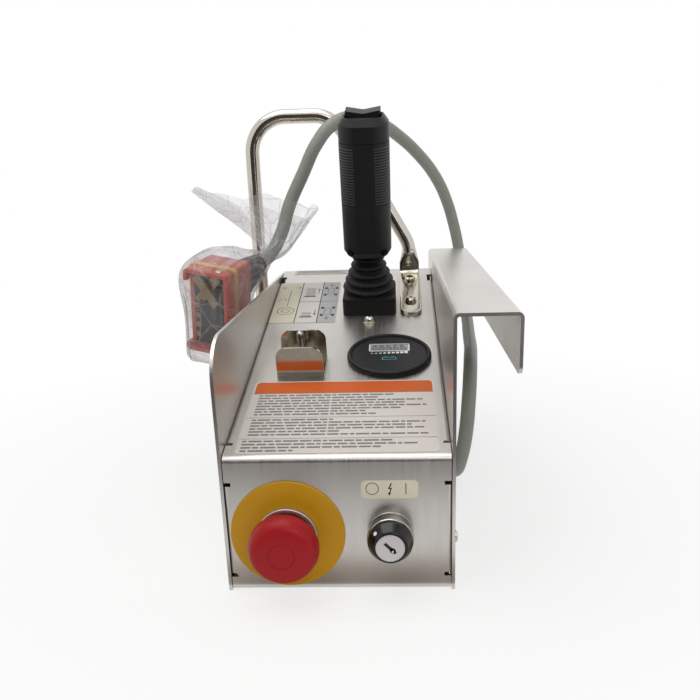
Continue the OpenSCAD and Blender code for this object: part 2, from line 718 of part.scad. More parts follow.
module gauge_clamp() color("gainsboro") place_gauge() {
    difference() {
        translate([-gauge_d / 2 + over, -clamp_w / 2, clamp_z]) cube([gauge_d - 2 * over, clamp_w, -clamp_z - sheet_t]);
        translate([-gauge_d / 2 + over + clamp_t, -clamp_w, -gauge_depth])
            cube([gauge_d - 2 * over - 2 * clamp_t, 2 * clamp_w, gauge_depth]);
    }
    for (x = [-1, 1]) translate([x * gauge_case_d / 4, 0, clamp_z - stud_l / 3]) {
        cylinder(d = stud_d, h = stud_l / 3);
        translate([0, 0, stud_l / 3 - stud_d * nut_h_share]) cylinder(d = stud_d * nut_share, h = stud_d * nut_h_share, $fn = 6);
    }
}

// Joystick
module place_stick() on_top(stick_x, stick_s) children();
stick_hole_d = 36;
stick_bore_d = 35;
stick_screw_pitch = 62.6;
stick_screws = [stick_s - stick_screw_pitch / 2, stick_s + stick_screw_pitch / 2];
base_r = 5;
base_step = 2;
pivot_z = -pivot_depth;
pin_d = 6;
module joystick_base() color("black") place_stick() difference() {
    union() {
        round_plate(stick_base_w, stick_base_w, base_r, stick_base_h - base_step);
        round_plate(stick_base_w - base_step, stick_base_w - base_step, base_r - base_step / 2, stick_base_h);
    }
    translate([0, 0, -over]) cylinder(d = stick_bore_d, h = stick_base_h + 2 * over);
}
// Folds of the boot: outer radii as shares of the base, from the bottom up
boot_shares = [1.05, 0.96, 0.85, 0.73, 0.61];
boot_top = grip_low - gap;
boot_low = stick_base_h;
boot_step = (boot_top - boot_low - 2 * over) / len(boot_shares);
boot_wall = 1.2;
boot_fold = 2.6;
boot_wave_shares = [[0.2, 0], [1, 0.3], [1, 0.6], [0.2, 0.95]];
boot_in = [for (k = [0:len(boot_shares) - 1]) boot_shares[k] * stick_base_w / 2 - boot_fold];
boot_out = concat([[boot_in[0], boot_low]],
    [for (k = [0:len(boot_shares) - 1], j = [0:3]) [boot_in[k] + boot_fold * boot_wave_shares[j].x,
        boot_low + over + (k + boot_wave_shares[j].y) * boot_step]]);
boot_ring = concat(boot_out, [[shaft_d / 2 + boot_wall + gap, boot_top], [shaft_d / 2 + gap, boot_top]],
    [for (k = [len(boot_out) - 1:-1:1]) [boot_out[k].x - boot_wall, boot_out[k].y - boot_wall / 4]],
    [[boot_in[0] - boot_wall, boot_low]]);
module joystick_boot() color("black") place_stick() rotate_extrude() polygon(boot_ring);
hub_d = 15;
hub_l = 18;
tail_l = 14;
shaft_in_grip = 50;
shaft_top = grip_low + shaft_in_grip;
module joystick_shaft() color("gainsboro") place_stick() difference() {
    union() {
        translate([0, 0, pivot_z - tail_l]) cylinder(d = shaft_d, h = tail_l + pivot_depth + shaft_top);
        translate([-hub_l / 2, 0, pivot_z]) rotate([0, 90, 0]) cylinder(d = hub_d, h = hub_l);
    }
    translate([-hub_l, 0, pivot_z]) rotate([0, 90, 0]) cylinder(d = pin_d + 2 * fit, h = 2 * hub_l);
}
gimbal_l = 44;
module gimbal_pin() color("gainsboro") place_stick() translate([-gimbal_l / 2, 0, pivot_z]) rotate([0, 90, 0])
    cylinder(d = pin_d, h = gimbal_l);
flange_t = 3;
cavity_w = 20;
cavity_l = 46;
cavity_h = 34;
module joystick_controller() color("dimgray") place_stick() translate([0, 0, -sheet_t]) difference() {
    union() {
        translate([0, 0, -flange_t]) round_plate(cavity_w + nut_af * half, stick_screw_pitch + nut_af * half, base_r, flange_t);
        translate([0, 0, -controller_h]) round_plate(controller_w, controller_w, base_r, controller_h);
    }
    translate([0, 0, -cavity_h / 2]) cube([cavity_w, cavity_l, cavity_h + over], center = true);
    translate([0, 0, -flange_t]) cylinder(d = stick_bore_d, h = flange_t + over);
    translate([-gimbal_l / 2, 0, pivot_z + sheet_t]) rotate([0, 90, 0]) cylinder(d = pin_d, h = gimbal_l);
    for (y = [-1, 1]) translate([0, y * stick_screw_pitch / 2, -flange_t - over])
        cylinder(d = side_screw_d, h = flange_t + 2 * over);
}
washer_share = 2.4;
washer_t = 1;
module base_screws() color("gainsboro") for (s = stick_screws) on_top(stick_x, s) {
    difference() {
        cylinder(d = side_screw_d * washer_share, h = washer_t);
        translate([0, 0, -over]) cylinder(d = side_screw_d, h = washer_t + 2 * over);
    }
    translate([0, 0, washer_t])
        round_screw(side_screw_d, side_head_d, side_head_h, washer_t + sheet_t + flange_t + over);
}

// Grip: two shells round the shaft
grip_h = grip_high - grip_low;
grip_floor = 9;
grip_cut = 5;
boss_d = 18;
rib_low_share = 0.48;
rib_pitch = 2;
rib_deep = 0.5;
band_w = 15;
rib_low = grip_low + grip_h * rib_low_share;
rib_count = floor((grip_high - rib_low - rib_pitch) / rib_pitch);
grip_screw_x = 13.4;
grip_screw_z = grip_low + grip_floor * half;
grip_screw_d = 3;
grip_screw_head = 5.5;
grip_screw_seat = 6;
trigger_pin_in = 6.5;
trigger_y = grip_deep / 2 - trigger_pin_in;
trigger_z = grip_high - trigger_l / 3;
trigger_out = 8;
trigger_pin_d = 3;
trigger_hub = 3.8;
lug_t = 4;
module grip_body() difference() {
    union() {
        translate([0, 0, grip_low + grip_cut]) round_plate(grip_w, grip_deep, grip_r, grip_h - grip_cut - gap);
        hull() for (k = [0, 1]) translate([0, 0, grip_low + k * (grip_cut - gap)])
            linear_extrude(gap) round_rect(grip_w - (1 - k) * grip_cut, grip_deep - (1 - k) * grip_cut, grip_r - (1 - k), $fn = 32);
    }
    difference() {
        translate([0, 0, grip_low + grip_floor])
            round_plate(grip_w - 2 * grip_wall, grip_deep - 2 * grip_wall, grip_r - grip_wall, grip_h);
        cylinder(d = boss_d, h = shaft_top);
        translate([-grip_w / 2, -grip_wall / 2, 0]) cube([grip_w, grip_wall, shaft_top]);
    }
    translate([0, 0, grip_low - over]) cylinder(d = shaft_d, h = grip_h);
    for (k = [0:rib_count - 1]) translate([0, 0, rib_low + k * rib_pitch]) linear_extrude(rib_pitch * half)
        difference() {
            square([grip_w + over, grip_deep + over], center = true);
            round_rect(grip_w - 2 * rib_deep, grip_deep - 2 * rib_deep, grip_r - rib_deep);
            square([band_w, grip_deep + 2 * over], center = true);
        }
    for (x = [-grip_screw_x, grip_screw_x]) translate([x, grip_deep / 4, grip_screw_z]) rotate([90, 0, 0]) {
        cylinder(d = grip_screw_d, h = grip_deep);
        translate([0, 0, grip_deep * 3 / 4 - grip_screw_seat]) cylinder(d = grip_screw_head + 2 * gap, h = grip_deep);
    }
}
module grip_front() color("black") place_stick() intersection() {
    grip_body();
    translate([-grip_w, -grip_deep - fit, 0]) cube([2 * grip_w, grip_deep, grip_high]);
}
trigger_slot_w = trigger_w + 2 * gap;
module grip_rear() color("black") place_stick() difference() {
    union() {
        intersection() {
            grip_body();
            translate([-grip_w, 0, 0]) cube([2 * grip_w, grip_deep, grip_high]);
        }
        for (x = [-trigger_slot_w / 2 - lug_t, trigger_slot_w / 2])
            translate([x, trigger_y - trigger_hub, trigger_z - trigger_hub])
                cube([lug_t, grip_deep / 2 - grip_wall * half - trigger_y + trigger_hub, 2 * trigger_hub]);
    }
    translate([-trigger_slot_w / 2, trigger_y - trigger_hub - over, trigger_z - trigger_l - trigger_hub])
        cube([trigger_slot_w, grip_deep, trigger_l + 3 * trigger_hub]);
    translate([-trigger_pin_l / 2, trigger_y, trigger_z]) rotate([0, 90, 0]) cylinder(d = trigger_pin_d, h = trigger_pin_l);
}
trigger_pin_l = trigger_slot_w + 2 * lug_t;
module trigger_pin() color("gainsboro") place_stick() translate([-trigger_pin_l / 2, trigger_y, trigger_z])
    rotate([0, 90, 0]) cylinder(d = trigger_pin_d, h = trigger_pin_l);
trigger_back = 3;
trigger_heel_share = 0.6;
trigger_top_share = 0.7;
trigger_bow_shares = [0.3, 0.4];
module grip_trigger() color("black") place_stick() translate([-trigger_w / 2, trigger_y, trigger_z]) rotate([90, 0, 90])
    difference() {
        union() {
            cylinder(r = trigger_hub, h = trigger_w);
            linear_extrude(trigger_w) polygon([[-trigger_hub * trigger_heel_share, trigger_hub * trigger_top_share],
                [grip_deep / 2 - trigger_y + trigger_back, trigger_hub * half],
                [grip_deep / 2 - trigger_y + trigger_out * trigger_top_share, -trigger_l * trigger_bow_shares[0]],
                [grip_deep / 2 - trigger_y + trigger_out, -trigger_l + trigger_back],
                [grip_deep / 2 - trigger_y + trigger_out * trigger_heel_share, -trigger_l],
                [grip_deep / 2 - trigger_y + trigger_back * half, -trigger_l + trigger_back],
                [grip_deep / 2 - trigger_y, -trigger_l * trigger_bow_shares[1]],
                [-trigger_hub * trigger_heel_share, -trigger_hub * trigger_top_share]]);
        }
        translate([0, 0, -over]) cylinder(d = trigger_pin_d + 2 * fit, h = trigger_w + 2 * over);
    }
module grip_screws() color("gainsboro") place_stick() for (x = [-grip_screw_x, grip_screw_x])
    translate([x, -grip_deep / 2 + grip_screw_seat, grip_screw_z]) rotate([90, 0, 0])
        round_screw(grip_screw_d, grip_screw_head, grip_screw_d * half, grip_deep / 2);

// Head of the grip with the thumb rocker
collar_share = 0.7;
head_taper = 7.5;
rocker_l = 18;
rocker_pin_d = 3;
rocker_hub = 4.5;
rocker_dip = 2;
wing_t = 3;
rocker_z = grip_high + head_h * collar_share + gap;
head_top = grip_high + head_h;
pocket_w = rocker_w + 2 * over;
module grip_head() color("black") place_stick() difference() {
    union() {
        translate([0, 0, grip_high]) round_plate(grip_w - gap, grip_deep - gap, grip_r - gap, head_h * collar_share);
        hull() {
            translate([0, 0, grip_high + head_h * collar_share - over])
                linear_extrude(over) round_rect(grip_w - gap, grip_deep - gap, grip_r - gap, $fn = 32);
            translate([0, 0, head_top - over])
                linear_extrude(over) round_rect(grip_w - head_taper, grip_deep - head_taper, grip_r - head_taper * half, $fn = 32);
        }
    }
    translate([-pocket_w / 2, -rocker_l / 2 - gap, rocker_z - rocker_hub - gap]) cube([pocket_w, rocker_l + 2 * gap, head_h]);
    translate([0, rocker_pin_l / 2, rocker_z]) rotate([90, 0, 0]) cylinder(d = rocker_pin_d, h = rocker_pin_l);
}
rocker_pin_l = rocker_l + 2 * rocker_hub;
module rocker_pin() color("gainsboro") place_stick() translate([0, rocker_pin_l / 2, rocker_z]) rotate([90, 0, 0])
    cylinder(d = rocker_pin_d, h = rocker_pin_l);
module thumb_rocker() color("black") place_stick() translate([0, rocker_l / 2, rocker_z]) rotate([90, 0, 0])
    linear_extrude(rocker_l) difference() {
        union() {
            circle(rocker_hub);
            polygon([[-rocker_w / 2, head_top + rocker_h - rocker_z], [-rocker_w / 2, head_top + rocker_h - wing_t - rocker_z],
                [-rocker_hub, 0], [rocker_hub, 0], [rocker_w / 2, head_top + rocker_h - wing_t - rocker_z],
                [rocker_w / 2, head_top + rocker_h - rocker_z], [over, head_top + rocker_h - rocker_dip - rocker_z],
                [-over, head_top + rocker_h - rocker_dip - rocker_z]]);
        }
        circle(d = rocker_pin_d + 2 * fit);
    }

// Handle: round bar with flattened feet
foot_y = front_y + handle_y;
tube_r = tube_d / 2;
foot_in_r = 3;
jog_h = 22;
flat_h = 6;
left_leg_low = left_foot_high + jog_h;
left_screw_edge = 14.5;
left_screws = [left_foot_low + left_screw_edge, left_foot_high - left_screw_edge];
foot_screws = [foot_screw_front, foot_screw_rear];
slant_tan = handle_bend * tan(handle_slant / 2);
knee_tan = handle_bend * tan((90 - handle_slant) / 2);
slant_run = (handle_z - handle_knee) / tan(handle_slant);
slant_x = right_leg_x - slant_run;
slant_l = (handle_z - handle_knee) / sin(handle_slant);
bend_foot_y = foot_y - foot_t / 2 - foot_in_r;
bend_foot_z = top_z(bend_foot_y) + (foot_t + foot_in_r) / cos(slope);
foot_bend_s = slope_s(bend_foot_y, bend_foot_z);
right_leg_low = bend_foot_z + flat_h + tube_d;
// Centre line of the bar: arcs of even steps between straight runs
bar_steps = 7;
function bar_arc(x, z, a0, a1) = [for (k = [0:bar_steps]) let (a = a0 + (a1 - a0) * k / bar_steps)
    [x + handle_bend * cos(a), foot_y, z + handle_bend * sin(a)]];
bar_sides = 24;
bar_square_share = 0.35;
foot_bar_r = foot_in_r + foot_t / 2;
end_turns = [20, 50, 90];
function top_place(x, s, h) = [x, front_y + s * cos(slope) - h * sin(slope), front_h + s * sin(slope) + h * cos(slope)];
left_foot_line = concat([for (a = end_turns) [-box_w / 2 - foot_t / 2, foot_y, left_foot_low + foot_w / 2 * (1 - cos(a))]],
    [[-box_w / 2 - foot_t / 2, foot_y, left_foot_high]]);
round_line = concat([[left_leg_x, foot_y, left_leg_low]],
    bar_arc(left_leg_x + handle_bend, handle_z - handle_bend, 180, 90),
    bar_arc(slant_x - slant_tan, handle_z - handle_bend, 90, 90 - handle_slant),
    bar_arc(right_leg_x - handle_bend, handle_knee - knee_tan, 90 - handle_slant, 0),
    [[right_leg_x, foot_y, right_leg_low]]);
right_foot_line = concat([[right_leg_x, foot_y, bend_foot_z + flat_h]],
    [for (k = [0:4]) let (a = (slope - 90) * k / 4)
        [right_leg_x, bend_foot_y + foot_bar_r * cos(a), bend_foot_z + foot_bar_r * sin(a)]],
    [for (k = [2:-1:0]) top_place(right_leg_x, foot_s + foot_w / 2 * (1 - cos(end_turns[k])), foot_t / 2)]);
// Half sizes of the bar's section across and along the handle's plane, and its squareness, ring by ring
bar_sizes = concat([for (a = end_turns) [foot_w / 2 * sin(a), foot_t / 2, bar_square_share]],
    [[foot_w / 2, foot_t / 2, bar_square_share]],
    [for (q = round_line) [tube_r, tube_r, 1]],
    [for (k = [0:5]) [foot_t / 2, foot_w / 2, bar_square_share]],
    [for (k = [2:-1:0]) [foot_t / 2, foot_w / 2 * sin(end_turns[k]), bar_square_share]]);
module guard_handle() color("silver") difference() {
    sweep_shape(concat(left_foot_line, round_line, right_foot_line), bar_sizes, bar_sides, [0, 1, 0]);
    for (s = foot_screws) on_top(right_leg_x, s) translate([0, 0, -over])
        cylinder(d = handle_screw_d + hole_play, h = foot_t + 2 * over);
    for (z = left_screws) translate([-box_w / 2 - foot_t - over, foot_y, z]) rotate([0, 90, 0])
        cylinder(d = handle_screw_d + hole_play, h = foot_t + 2 * over);
}
handle_washer_d = handle_screw_d * 2;
handle_head_share = 0.86;
handle_head_d = handle_washer_d * handle_head_share;
handle_grip = foot_t + sheet_t;
module handle_screw() {
    difference() {
        cylinder(d = handle_washer_d, h = washer_t);
        translate([0, 0, -over]) cylinder(d = handle_screw_d, h = washer_t + 2 * over);
    }
    translate([0, 0, washer_t]) round_screw(handle_screw_d, handle_head_d, handle_screw_d * half,
        washer_t + handle_grip + handle_screw_d * nut_h_share + over);
}
module handle_screws() color("gainsboro") {
    for (s = foot_screws) on_top(right_leg_x, s) translate([0, 0, foot_t]) handle_screw();
    for (z = left_screws) translate([-box_w / 2 - foot_t, foot_y, z]) rotate([0, -90, 0]) handle_screw();
}
module handle_nuts() color("gainsboro") {
    for (s = foot_screws) on_top(right_leg_x, s) translate([0, 0, -sheet_t - handle_screw_d * nut_h_share]) hex_nut(handle_screw_d);
    for (z = left_screws) translate([-inner_w / 2, foot_y, z]) rotate([0, 90, 0]) hex_nut(handle_screw_d);
}

// Control board on its standoffs
board_w = 100;
board_l = 110;
board_t = 1.6;
board_z = 14;
board_back = 54;
board_y = base_y + board_back;
board_r = 2.7;
terminal_share = 0.7;
standoff_in = 6;
standoff_af = 6;
standoff_places = [for (x = [-1, 1], y = [-1, 1]) [x * (board_w / 2 - standoff_in), board_y + y * (board_l / 2 - standoff_in)]];
module board_standoffs() color("gainsboro") for (p = standoff_places) translate([p.x, p.y, 0]) {
    cylinder(d = cover_screw_d, h = board_z + board_t);
    translate([0, 0, base_t]) cylinder(d = standoff_af / cos(30), h = board_z - base_t, $fn = 6);
    translate([0, 0, board_z + board_t]) cylinder(d = standoff_af, h = cover_screw_d * half);
}
terminal_h = 12.4;
terminal_l = 14;
board_part_shares = [[-0.3, 0.05, 0.2, 0.25, 0.9], [0.15, 0.05, 0.3, 0.3, 0.2], [-0.25, -0.3, 0.3, 0.2, 0.6], [0.25, -0.32, 0.15, 0.15, 1.1]];
module control_board() color("darkgreen") {
    difference() {
        translate([0, board_y, board_z]) round_plate(board_w, board_l, board_r, board_t);
        for (p = standoff_places) translate([p.x, p.y, board_z - over])
            cylinder(d = cover_screw_d, h = board_t + 2 * over);
    }
    translate([-board_w * terminal_share / 2, board_y + board_l / 2 - standoff_in - 2 * terminal_l, board_z + board_t])
        cube([board_w * terminal_share, terminal_l, terminal_h]);
    for (q = board_part_shares) translate([(q[0] - q[2] / 2) * board_w, board_y + (q[1] - q[3] / 2) * board_l, board_z + board_t])
        cube([q[2] * board_w, q[3] * board_l, q[4] * terminal_h]);
}

// Sweep of a round tube along points
tube_sides = 12;
function unit(v) = v / norm(v);
function along(p, k) = unit(p[min(k + 1, len(p) - 1)] - p[max(k - 1, 0)]);
function carry(u, t) = unit(u - t * (u * t));
function side_vectors(p, k = 0, u = [1, 0, 0]) = k == len(p) ? [] :
    let (v = carry(u, along(p, k))) concat([v], side_vectors(p, k + 1, v));
// Sweep of a section with its own half sizes and squareness at each point
function rounded(c, e) = sign(c) * pow(abs(c), e);
module sweep_shape(p, q, n, u0) {
    u = side_vectors(p, 0, u0);
    points = [for (k = [0:len(p) - 1], j = [0:n - 1]) let (v = cross(along(p, k), u[k]), a = 360 * j / n)
        p[k] + q[k][0] * rounded(cos(a), q[k][2]) * u[k] + q[k][1] * rounded(sin(a), q[k][2]) * v];
    faces = concat([[for (j = [0:n - 1]) j]],
        [for (k = [0:len(p) - 2], j = [0:n - 1]) [k * n + j, (k + 1) * n + j, k * n + (j + 1) % n]],
        [for (k = [0:len(p) - 2], j = [0:n - 1]) [k * n + (j + 1) % n, (k + 1) * n + j, (k + 1) * n + (j + 1) % n]],
        [[for (j = [n - 1:-1:0]) (len(p) - 1) * n + j]]);
    polyhedron(points, faces);
}
module sweep(p, d, n) sweep_shape(p, [for (k = p) [d / 2, d / 2, 1]], n, [1, 0, 0]);
// Route of the cable from the gland's boot to the connector's hood
cable_route = [
    [12, 173, 76], [12, 177, 76], [16.5, 201.5, 71.5], [29, 219.5, 58.5], [46, 226, 41], [63, 219.5, 23.5],
    [75.5, 201.5, 10.5], [80, 177, 6], [80, 135, 6], [80, 85, 6], [80, 35, 6],
    [82.5, 11, 12.5], [85, -6.5, 30], [88, -13, 54], [90.5, -6.5, 78], [93, 11, 95.5], [95.5, 35, 102],
    [98, 61, 103], [99.5, 87, 104], [101, 113, 106], [102.5, 139, 109], [103, 163, 114], [103, 185, 125],
    [102, 200, 144], [99.5, 208, 168], [94, 209, 194], [86, 205, 219], [74.5, 193, 241], [59, 178, 260],
    [41, 161, 276], [22, 140, 287.5], [3.5, 120.5, 291.5], [-15, 107, 285], [-28.5, 99.5, 269.5],
    [-40.5, 96, 246.5], [-53, 92, 221], [-59, 86, 201.5], [-66, 72.5, 186], [-73, 53.5, 178.5], [-75, 47, 177.5]];
module cable() color("darkslategray") sweep(cable_route, cable_d, tube_sides);
// Inner run from the gland to the terminals
inner_route = [[12, 134, 76], [12, 128, 76], [12, 111, 72.5], [12, 97, 63], [12, 87.5, 49], [12, 84, 32], [12, 84, 28]];
inner_cable_d = 9;
module inner_cable() color("black") sweep(inner_route, inner_cable_d, tube_sides);
gland_thread_d = 16;
gland_head = 6;
gland_in = 9.5;
gland_nut = 5;
module place_gland() translate([gland_x, rear_y, gland_z]) rotate([-90, 0, 0]) children();
module cable_gland() color("dimgray") place_gland() {
    cylinder(d = gland_hex / cos(30), h = gland_head, $fn = 6);
    translate([0, 0, -gland_in - rear_t]) cylinder(d = gland_thread_d, h = gland_in + rear_t);
    translate([0, 0, -rear_t - gland_nut]) cylinder(d = gland_hex / cos(30), h = gland_nut, $fn = 6);
}
boot_d = 18;
boot_end_d = 14;
groove_count = 5;
groove_deep = 0.8;
boot_line = [for (k = [0:groove_count - 1], j = [[0, 0], [0.6, 0], [0.6, 1], [1, 1]])
    [(boot_d + (boot_end_d - boot_d) * (k + j.x) / groove_count) / 2 - groove_deep * j.y, boot_l * (k + j.x) / groove_count]];
module gland_boot() color("black") place_gland() translate([0, 0, gland_head]) rotate_extrude()
    polygon(concat([[0, 0]], boot_line, [[0, boot_l]]));

// Connector: local x to the right, y rearwards, z up, origin in the middle of its face
plug_place = [-108, 1.1, 146.8];
plug_turn = [9.5, 8.9, -15.9];
module on_plug() translate(plug_place) rotate(plug_turn) children();
plug_hood_end = [14, 58, 24];
plug_cavity = 24;
insert_front = 10;
plug_r = 3;
hood_d = 16;
hood_w_share = 0.6;
hood_h_share = 0.34;
hood_rise = 17;
module plug_box(w, h, y0, y1, r) translate([0, y1, 0]) rotate([90, 0, 0]) linear_extrude(y1 - y0) round_rect(w, h, r);
module connector_housing() color("orangered") on_plug() difference() {
    plug_box(plug_w, plug_h, 0, plug_deep, plug_r);
    plug_box(plug_w - 2 * plug_wall, plug_h - 2 * plug_wall, -over, plug_cavity, plug_wall * half);
    translate([-plug_w / 2 - over, -over, -plug_h / 2 + 2 * plug_wall])
        cube([plug_wall + 2 * over, insert_front + over, plug_h - 5 * plug_wall]);
    translate([plug_w / 4, insert_front * half, plug_h / 2 - plug_wall - over]) cylinder(d = plug_screw_d, h = plug_wall + 2 * over);
}
plug_screw_d = 2.5;
insert_play = 2 * fit;
recess_shares = [-0.336, 0.016, 0.336];
recess_w_share = 0.2;
recess_h_share = 0.12;
module connector_insert() color("black") on_plug() difference() {
    plug_box(plug_w - 2 * plug_wall - 2 * insert_play, plug_h - 2 * plug_wall - 2 * insert_play, insert_front, plug_cavity, plug_wall * half);
    contact_shapes(0);
    for (z = recess_shares) translate([plug_w * recess_w_share, insert_front, z * plug_h])
        cube([plug_w * recess_w_share, insert_front, plug_h * recess_h_share], center = true);
}
blade_w = 7;
blade_t = 3;
blade_l = 28;
blade_turn = 38;
blade_shares = [-0.08, 0.24];
pin_x_share = -0.28;
pin_shares = [0.05, -0.07, -0.19, -0.31];
contact_d = 4.5;
module contact_shapes(front) {
    translate([blade_shares.x * plug_w, 0, blade_shares.y * plug_h]) for (k = [0, 1])
        translate([0, insert_front - blade_t * (k - half) - blade_t * half, 0]) rotate([0, (k == 0 ? 1 : -1) * blade_turn, 0])
            translate([-blade_w / 2, -blade_t / 2, -blade_l / 2]) cube([blade_w, blade_t, blade_l]);
    for (z = pin_shares) translate([pin_x_share * plug_w, insert_front + blade_t, z * plug_h]) rotate([90, 0, 0])
        cylinder(d = contact_d, h = blade_t + insert_front * half);
}
module connector_contacts() color("gainsboro") on_plug() contact_shapes(0);
module connector_screws() color("gainsboro") on_plug()
    translate([plug_w / 4, insert_front * half, plug_h / 2]) round_screw(plug_screw_d, plug_screw_d * 2, plug_screw_d * half, plug_wall);
module connector_hood() color("dimgray") on_plug() hull() {
    translate([plug_hood_end.x / 2, plug_deep, hood_rise])
        rotate([-90, 0, 0]) linear_extrude(plug_wall) round_rect(plug_w * hood_w_share, plug_h * hood_h_share, plug_r, $fn = 32);
    translate([plug_hood_end.x, plug_hood_end.y - over, plug_hood_end.z]) rotate([-90, 0, 0]) cylinder(d = hood_d, h = over, $fn = 32);
}
rubber_t = 1.2;
rubber_w = 5;
module rubber_band() color("khaki") on_plug() difference() {
    plug_box(plug_w + 2 * rubber_t, plug_h + 2 * rubber_t, insert_front + over, insert_front + over + rubber_w, plug_r + rubber_t);
    plug_box(plug_w + 2 * fit, plug_h + 2 * fit, insert_front, insert_front + 2 * over + rubber_w, plug_r);
}

// Clear bag: one open shell lofted round the connector, gathered at the cable and flared above it.
// Each ring as shares of the connector: middle x, y, z, half width, half depth, then its turn in degrees
bag_ring_shares = [
    [0, 0.5, -0.72, 0.2, 0.2, 90], [0, 0.5, -0.65, 0.48, 0.48, 90], [0, 0.5, -0.56, 0.645, 0.66, 90],
    [0, 0.52, 0.03, 0.66, 0.68, 90], [0, 0.54, 0.29, 0.685, 0.79, 60], [0.03, 0.97, 0.36, 0.66, 0.56, 30],
    [0.14, 1.32, 0.35, 0.55, 0.45, 0], [0.32, 1.6, 0.37, 0.36, 0.32, 0], [0.39, 1.95, 0.39, 0.22, 0.21, 0],
    [0.29, 2.42, 0.51, 0.55, 0.3, 40], [-0.42, 2.82, 0.92, 1.72, 0.5, 60]];
bag_t = 0.8;
bag_sides = 20;
bag_square_share = 0.5;
// Point of a rounded square: a superellipse for the pouch, an ellipse above the neck
function bag_point(q, a, cut, e) = let (w = q[3] * plug_w - cut, d = q[4] * plug_deep - cut,
    x = w * rounded(cos(a), e), v = d * rounded(sin(a), e))
    [q[0] * plug_w + x, q[1] * plug_deep - v * sin(q[5]), q[2] * plug_h + v * cos(q[5])];
function quad(a, b, c, d) = [[a, b, c], [a, c, d]];
module clear_bag() color("lightcyan", 0.4) on_plug() {
    m = len(bag_ring_shares);
    n = bag_sides;
    power = [for (k = [0:m - 1]) k < 7 ? bag_square_share : 1];
    outer = [for (k = [0:m - 1], j = [0:n - 1]) bag_point(bag_ring_shares[k], 360 * j / n, 0, power[k])];
    inner = [for (k = [0:m - 1], j = [0:n - 1]) bag_point(bag_ring_shares[k], 360 * j / n, bag_t, power[k])
        + (k == 0 ? [0, 0, bag_t] : [0, 0, 0])];
    wall = [for (k = [0:m - 2], j = [0:n - 1]) each quad(k * n + j, (k + 1) * n + j, (k + 1) * n + (j + 1) % n, k * n + (j + 1) % n)];
    o = m * n;
    lining = [for (f = wall) [o + f[0], o + f[2], o + f[1]]];
    rim = [for (j = [0:n - 1]) each quad((m - 1) * n + j, o + (m - 1) * n + j, o + (m - 1) * n + (j + 1) % n, (m - 1) * n + (j + 1) % n)];
    polyhedron(concat(outer, inner), concat([[for (j = [0:n - 1]) j]], wall, rim, lining,
        [[for (j = [n - 1:-1:0]) o + j]]));
}

console_sheet();
left_side_plate();
right_hook_plate();
rear_cover();
bottom_cover();
side_screws();
side_nuts();
cover_screws();
warning_label();
diagram_label();
strip_label();
key_label();
stop_ring();
stop_collar();
stop_button();
ring_nuts();
contact_blocks();
key_ring();
key_bezel();
key_core();
toggle_guard();
toggle_bushing();
toggle_nut();
toggle_lever();
toggle_body();
gauge_case();
gauge_face();
gauge_window();
gauge_clamp();
joystick_base();
joystick_boot();
joystick_shaft();
gimbal_pin();
grip_front();
grip_rear();
grip_head();
thumb_rocker();
rocker_pin();
grip_trigger();
trigger_pin();
grip_screws();
base_screws();
joystick_controller();
guard_handle();
handle_screws();
handle_nuts();
control_board();
board_standoffs();
inner_cable();
cable_gland();
gland_boot();
cable();
connector_hood();
connector_housing();
connector_insert();
connector_contacts();
connector_screws();
rubber_band();
clear_bag();
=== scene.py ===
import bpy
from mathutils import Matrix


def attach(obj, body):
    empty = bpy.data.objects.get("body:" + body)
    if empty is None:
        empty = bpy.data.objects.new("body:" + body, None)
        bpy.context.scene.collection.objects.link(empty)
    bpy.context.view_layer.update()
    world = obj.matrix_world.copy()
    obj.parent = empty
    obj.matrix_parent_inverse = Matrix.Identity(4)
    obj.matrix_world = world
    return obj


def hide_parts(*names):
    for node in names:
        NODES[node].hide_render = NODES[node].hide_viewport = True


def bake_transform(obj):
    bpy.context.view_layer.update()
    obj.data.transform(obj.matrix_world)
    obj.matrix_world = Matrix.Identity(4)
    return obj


bl_info = {
    "name": "Scissor lift control box",
    "version": (1, 0, 0),
    "blender": (4, 5, 0),
    "location": "3D View > Sidebar > Lift box",
    "description": "Finishes and fine detail for the control box's fixed frame",
    "category": "Object",
}

import math

import bmesh
import bpy
from mathutils import Matrix, Vector, noise

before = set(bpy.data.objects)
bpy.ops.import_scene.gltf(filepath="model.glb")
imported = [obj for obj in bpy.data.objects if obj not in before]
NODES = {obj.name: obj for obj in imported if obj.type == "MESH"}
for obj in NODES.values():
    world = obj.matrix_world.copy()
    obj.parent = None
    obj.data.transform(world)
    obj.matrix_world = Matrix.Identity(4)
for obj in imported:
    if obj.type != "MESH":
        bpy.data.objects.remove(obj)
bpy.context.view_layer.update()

# Sizes of the frame that the fine pieces stand on, in millimetres
MM = 0.001
FRONT_Y = -145.0
FRONT_H = 88.0
REAR_H = 161.0
BOX_L = 290.0
SLOPE = math.atan2(REAR_H - FRONT_H, BOX_L)
STOP_PLACE = (-31.0, 38.7)
KEY_PLACE = (31.0, 39.0)
TOGGLE_PLACE = (-31.0, 109.5)
GAUGE_PLACE = (30.6, 121.7)
STICK_PLACE = (14.2, 214.0)
PLUG_PLACE = (-108.0, 1.1, 146.8)
PLUG_TURN = (9.5, 8.9, -15.9)
PLUG_SIZE = (36.5, 38.0, 66.0)
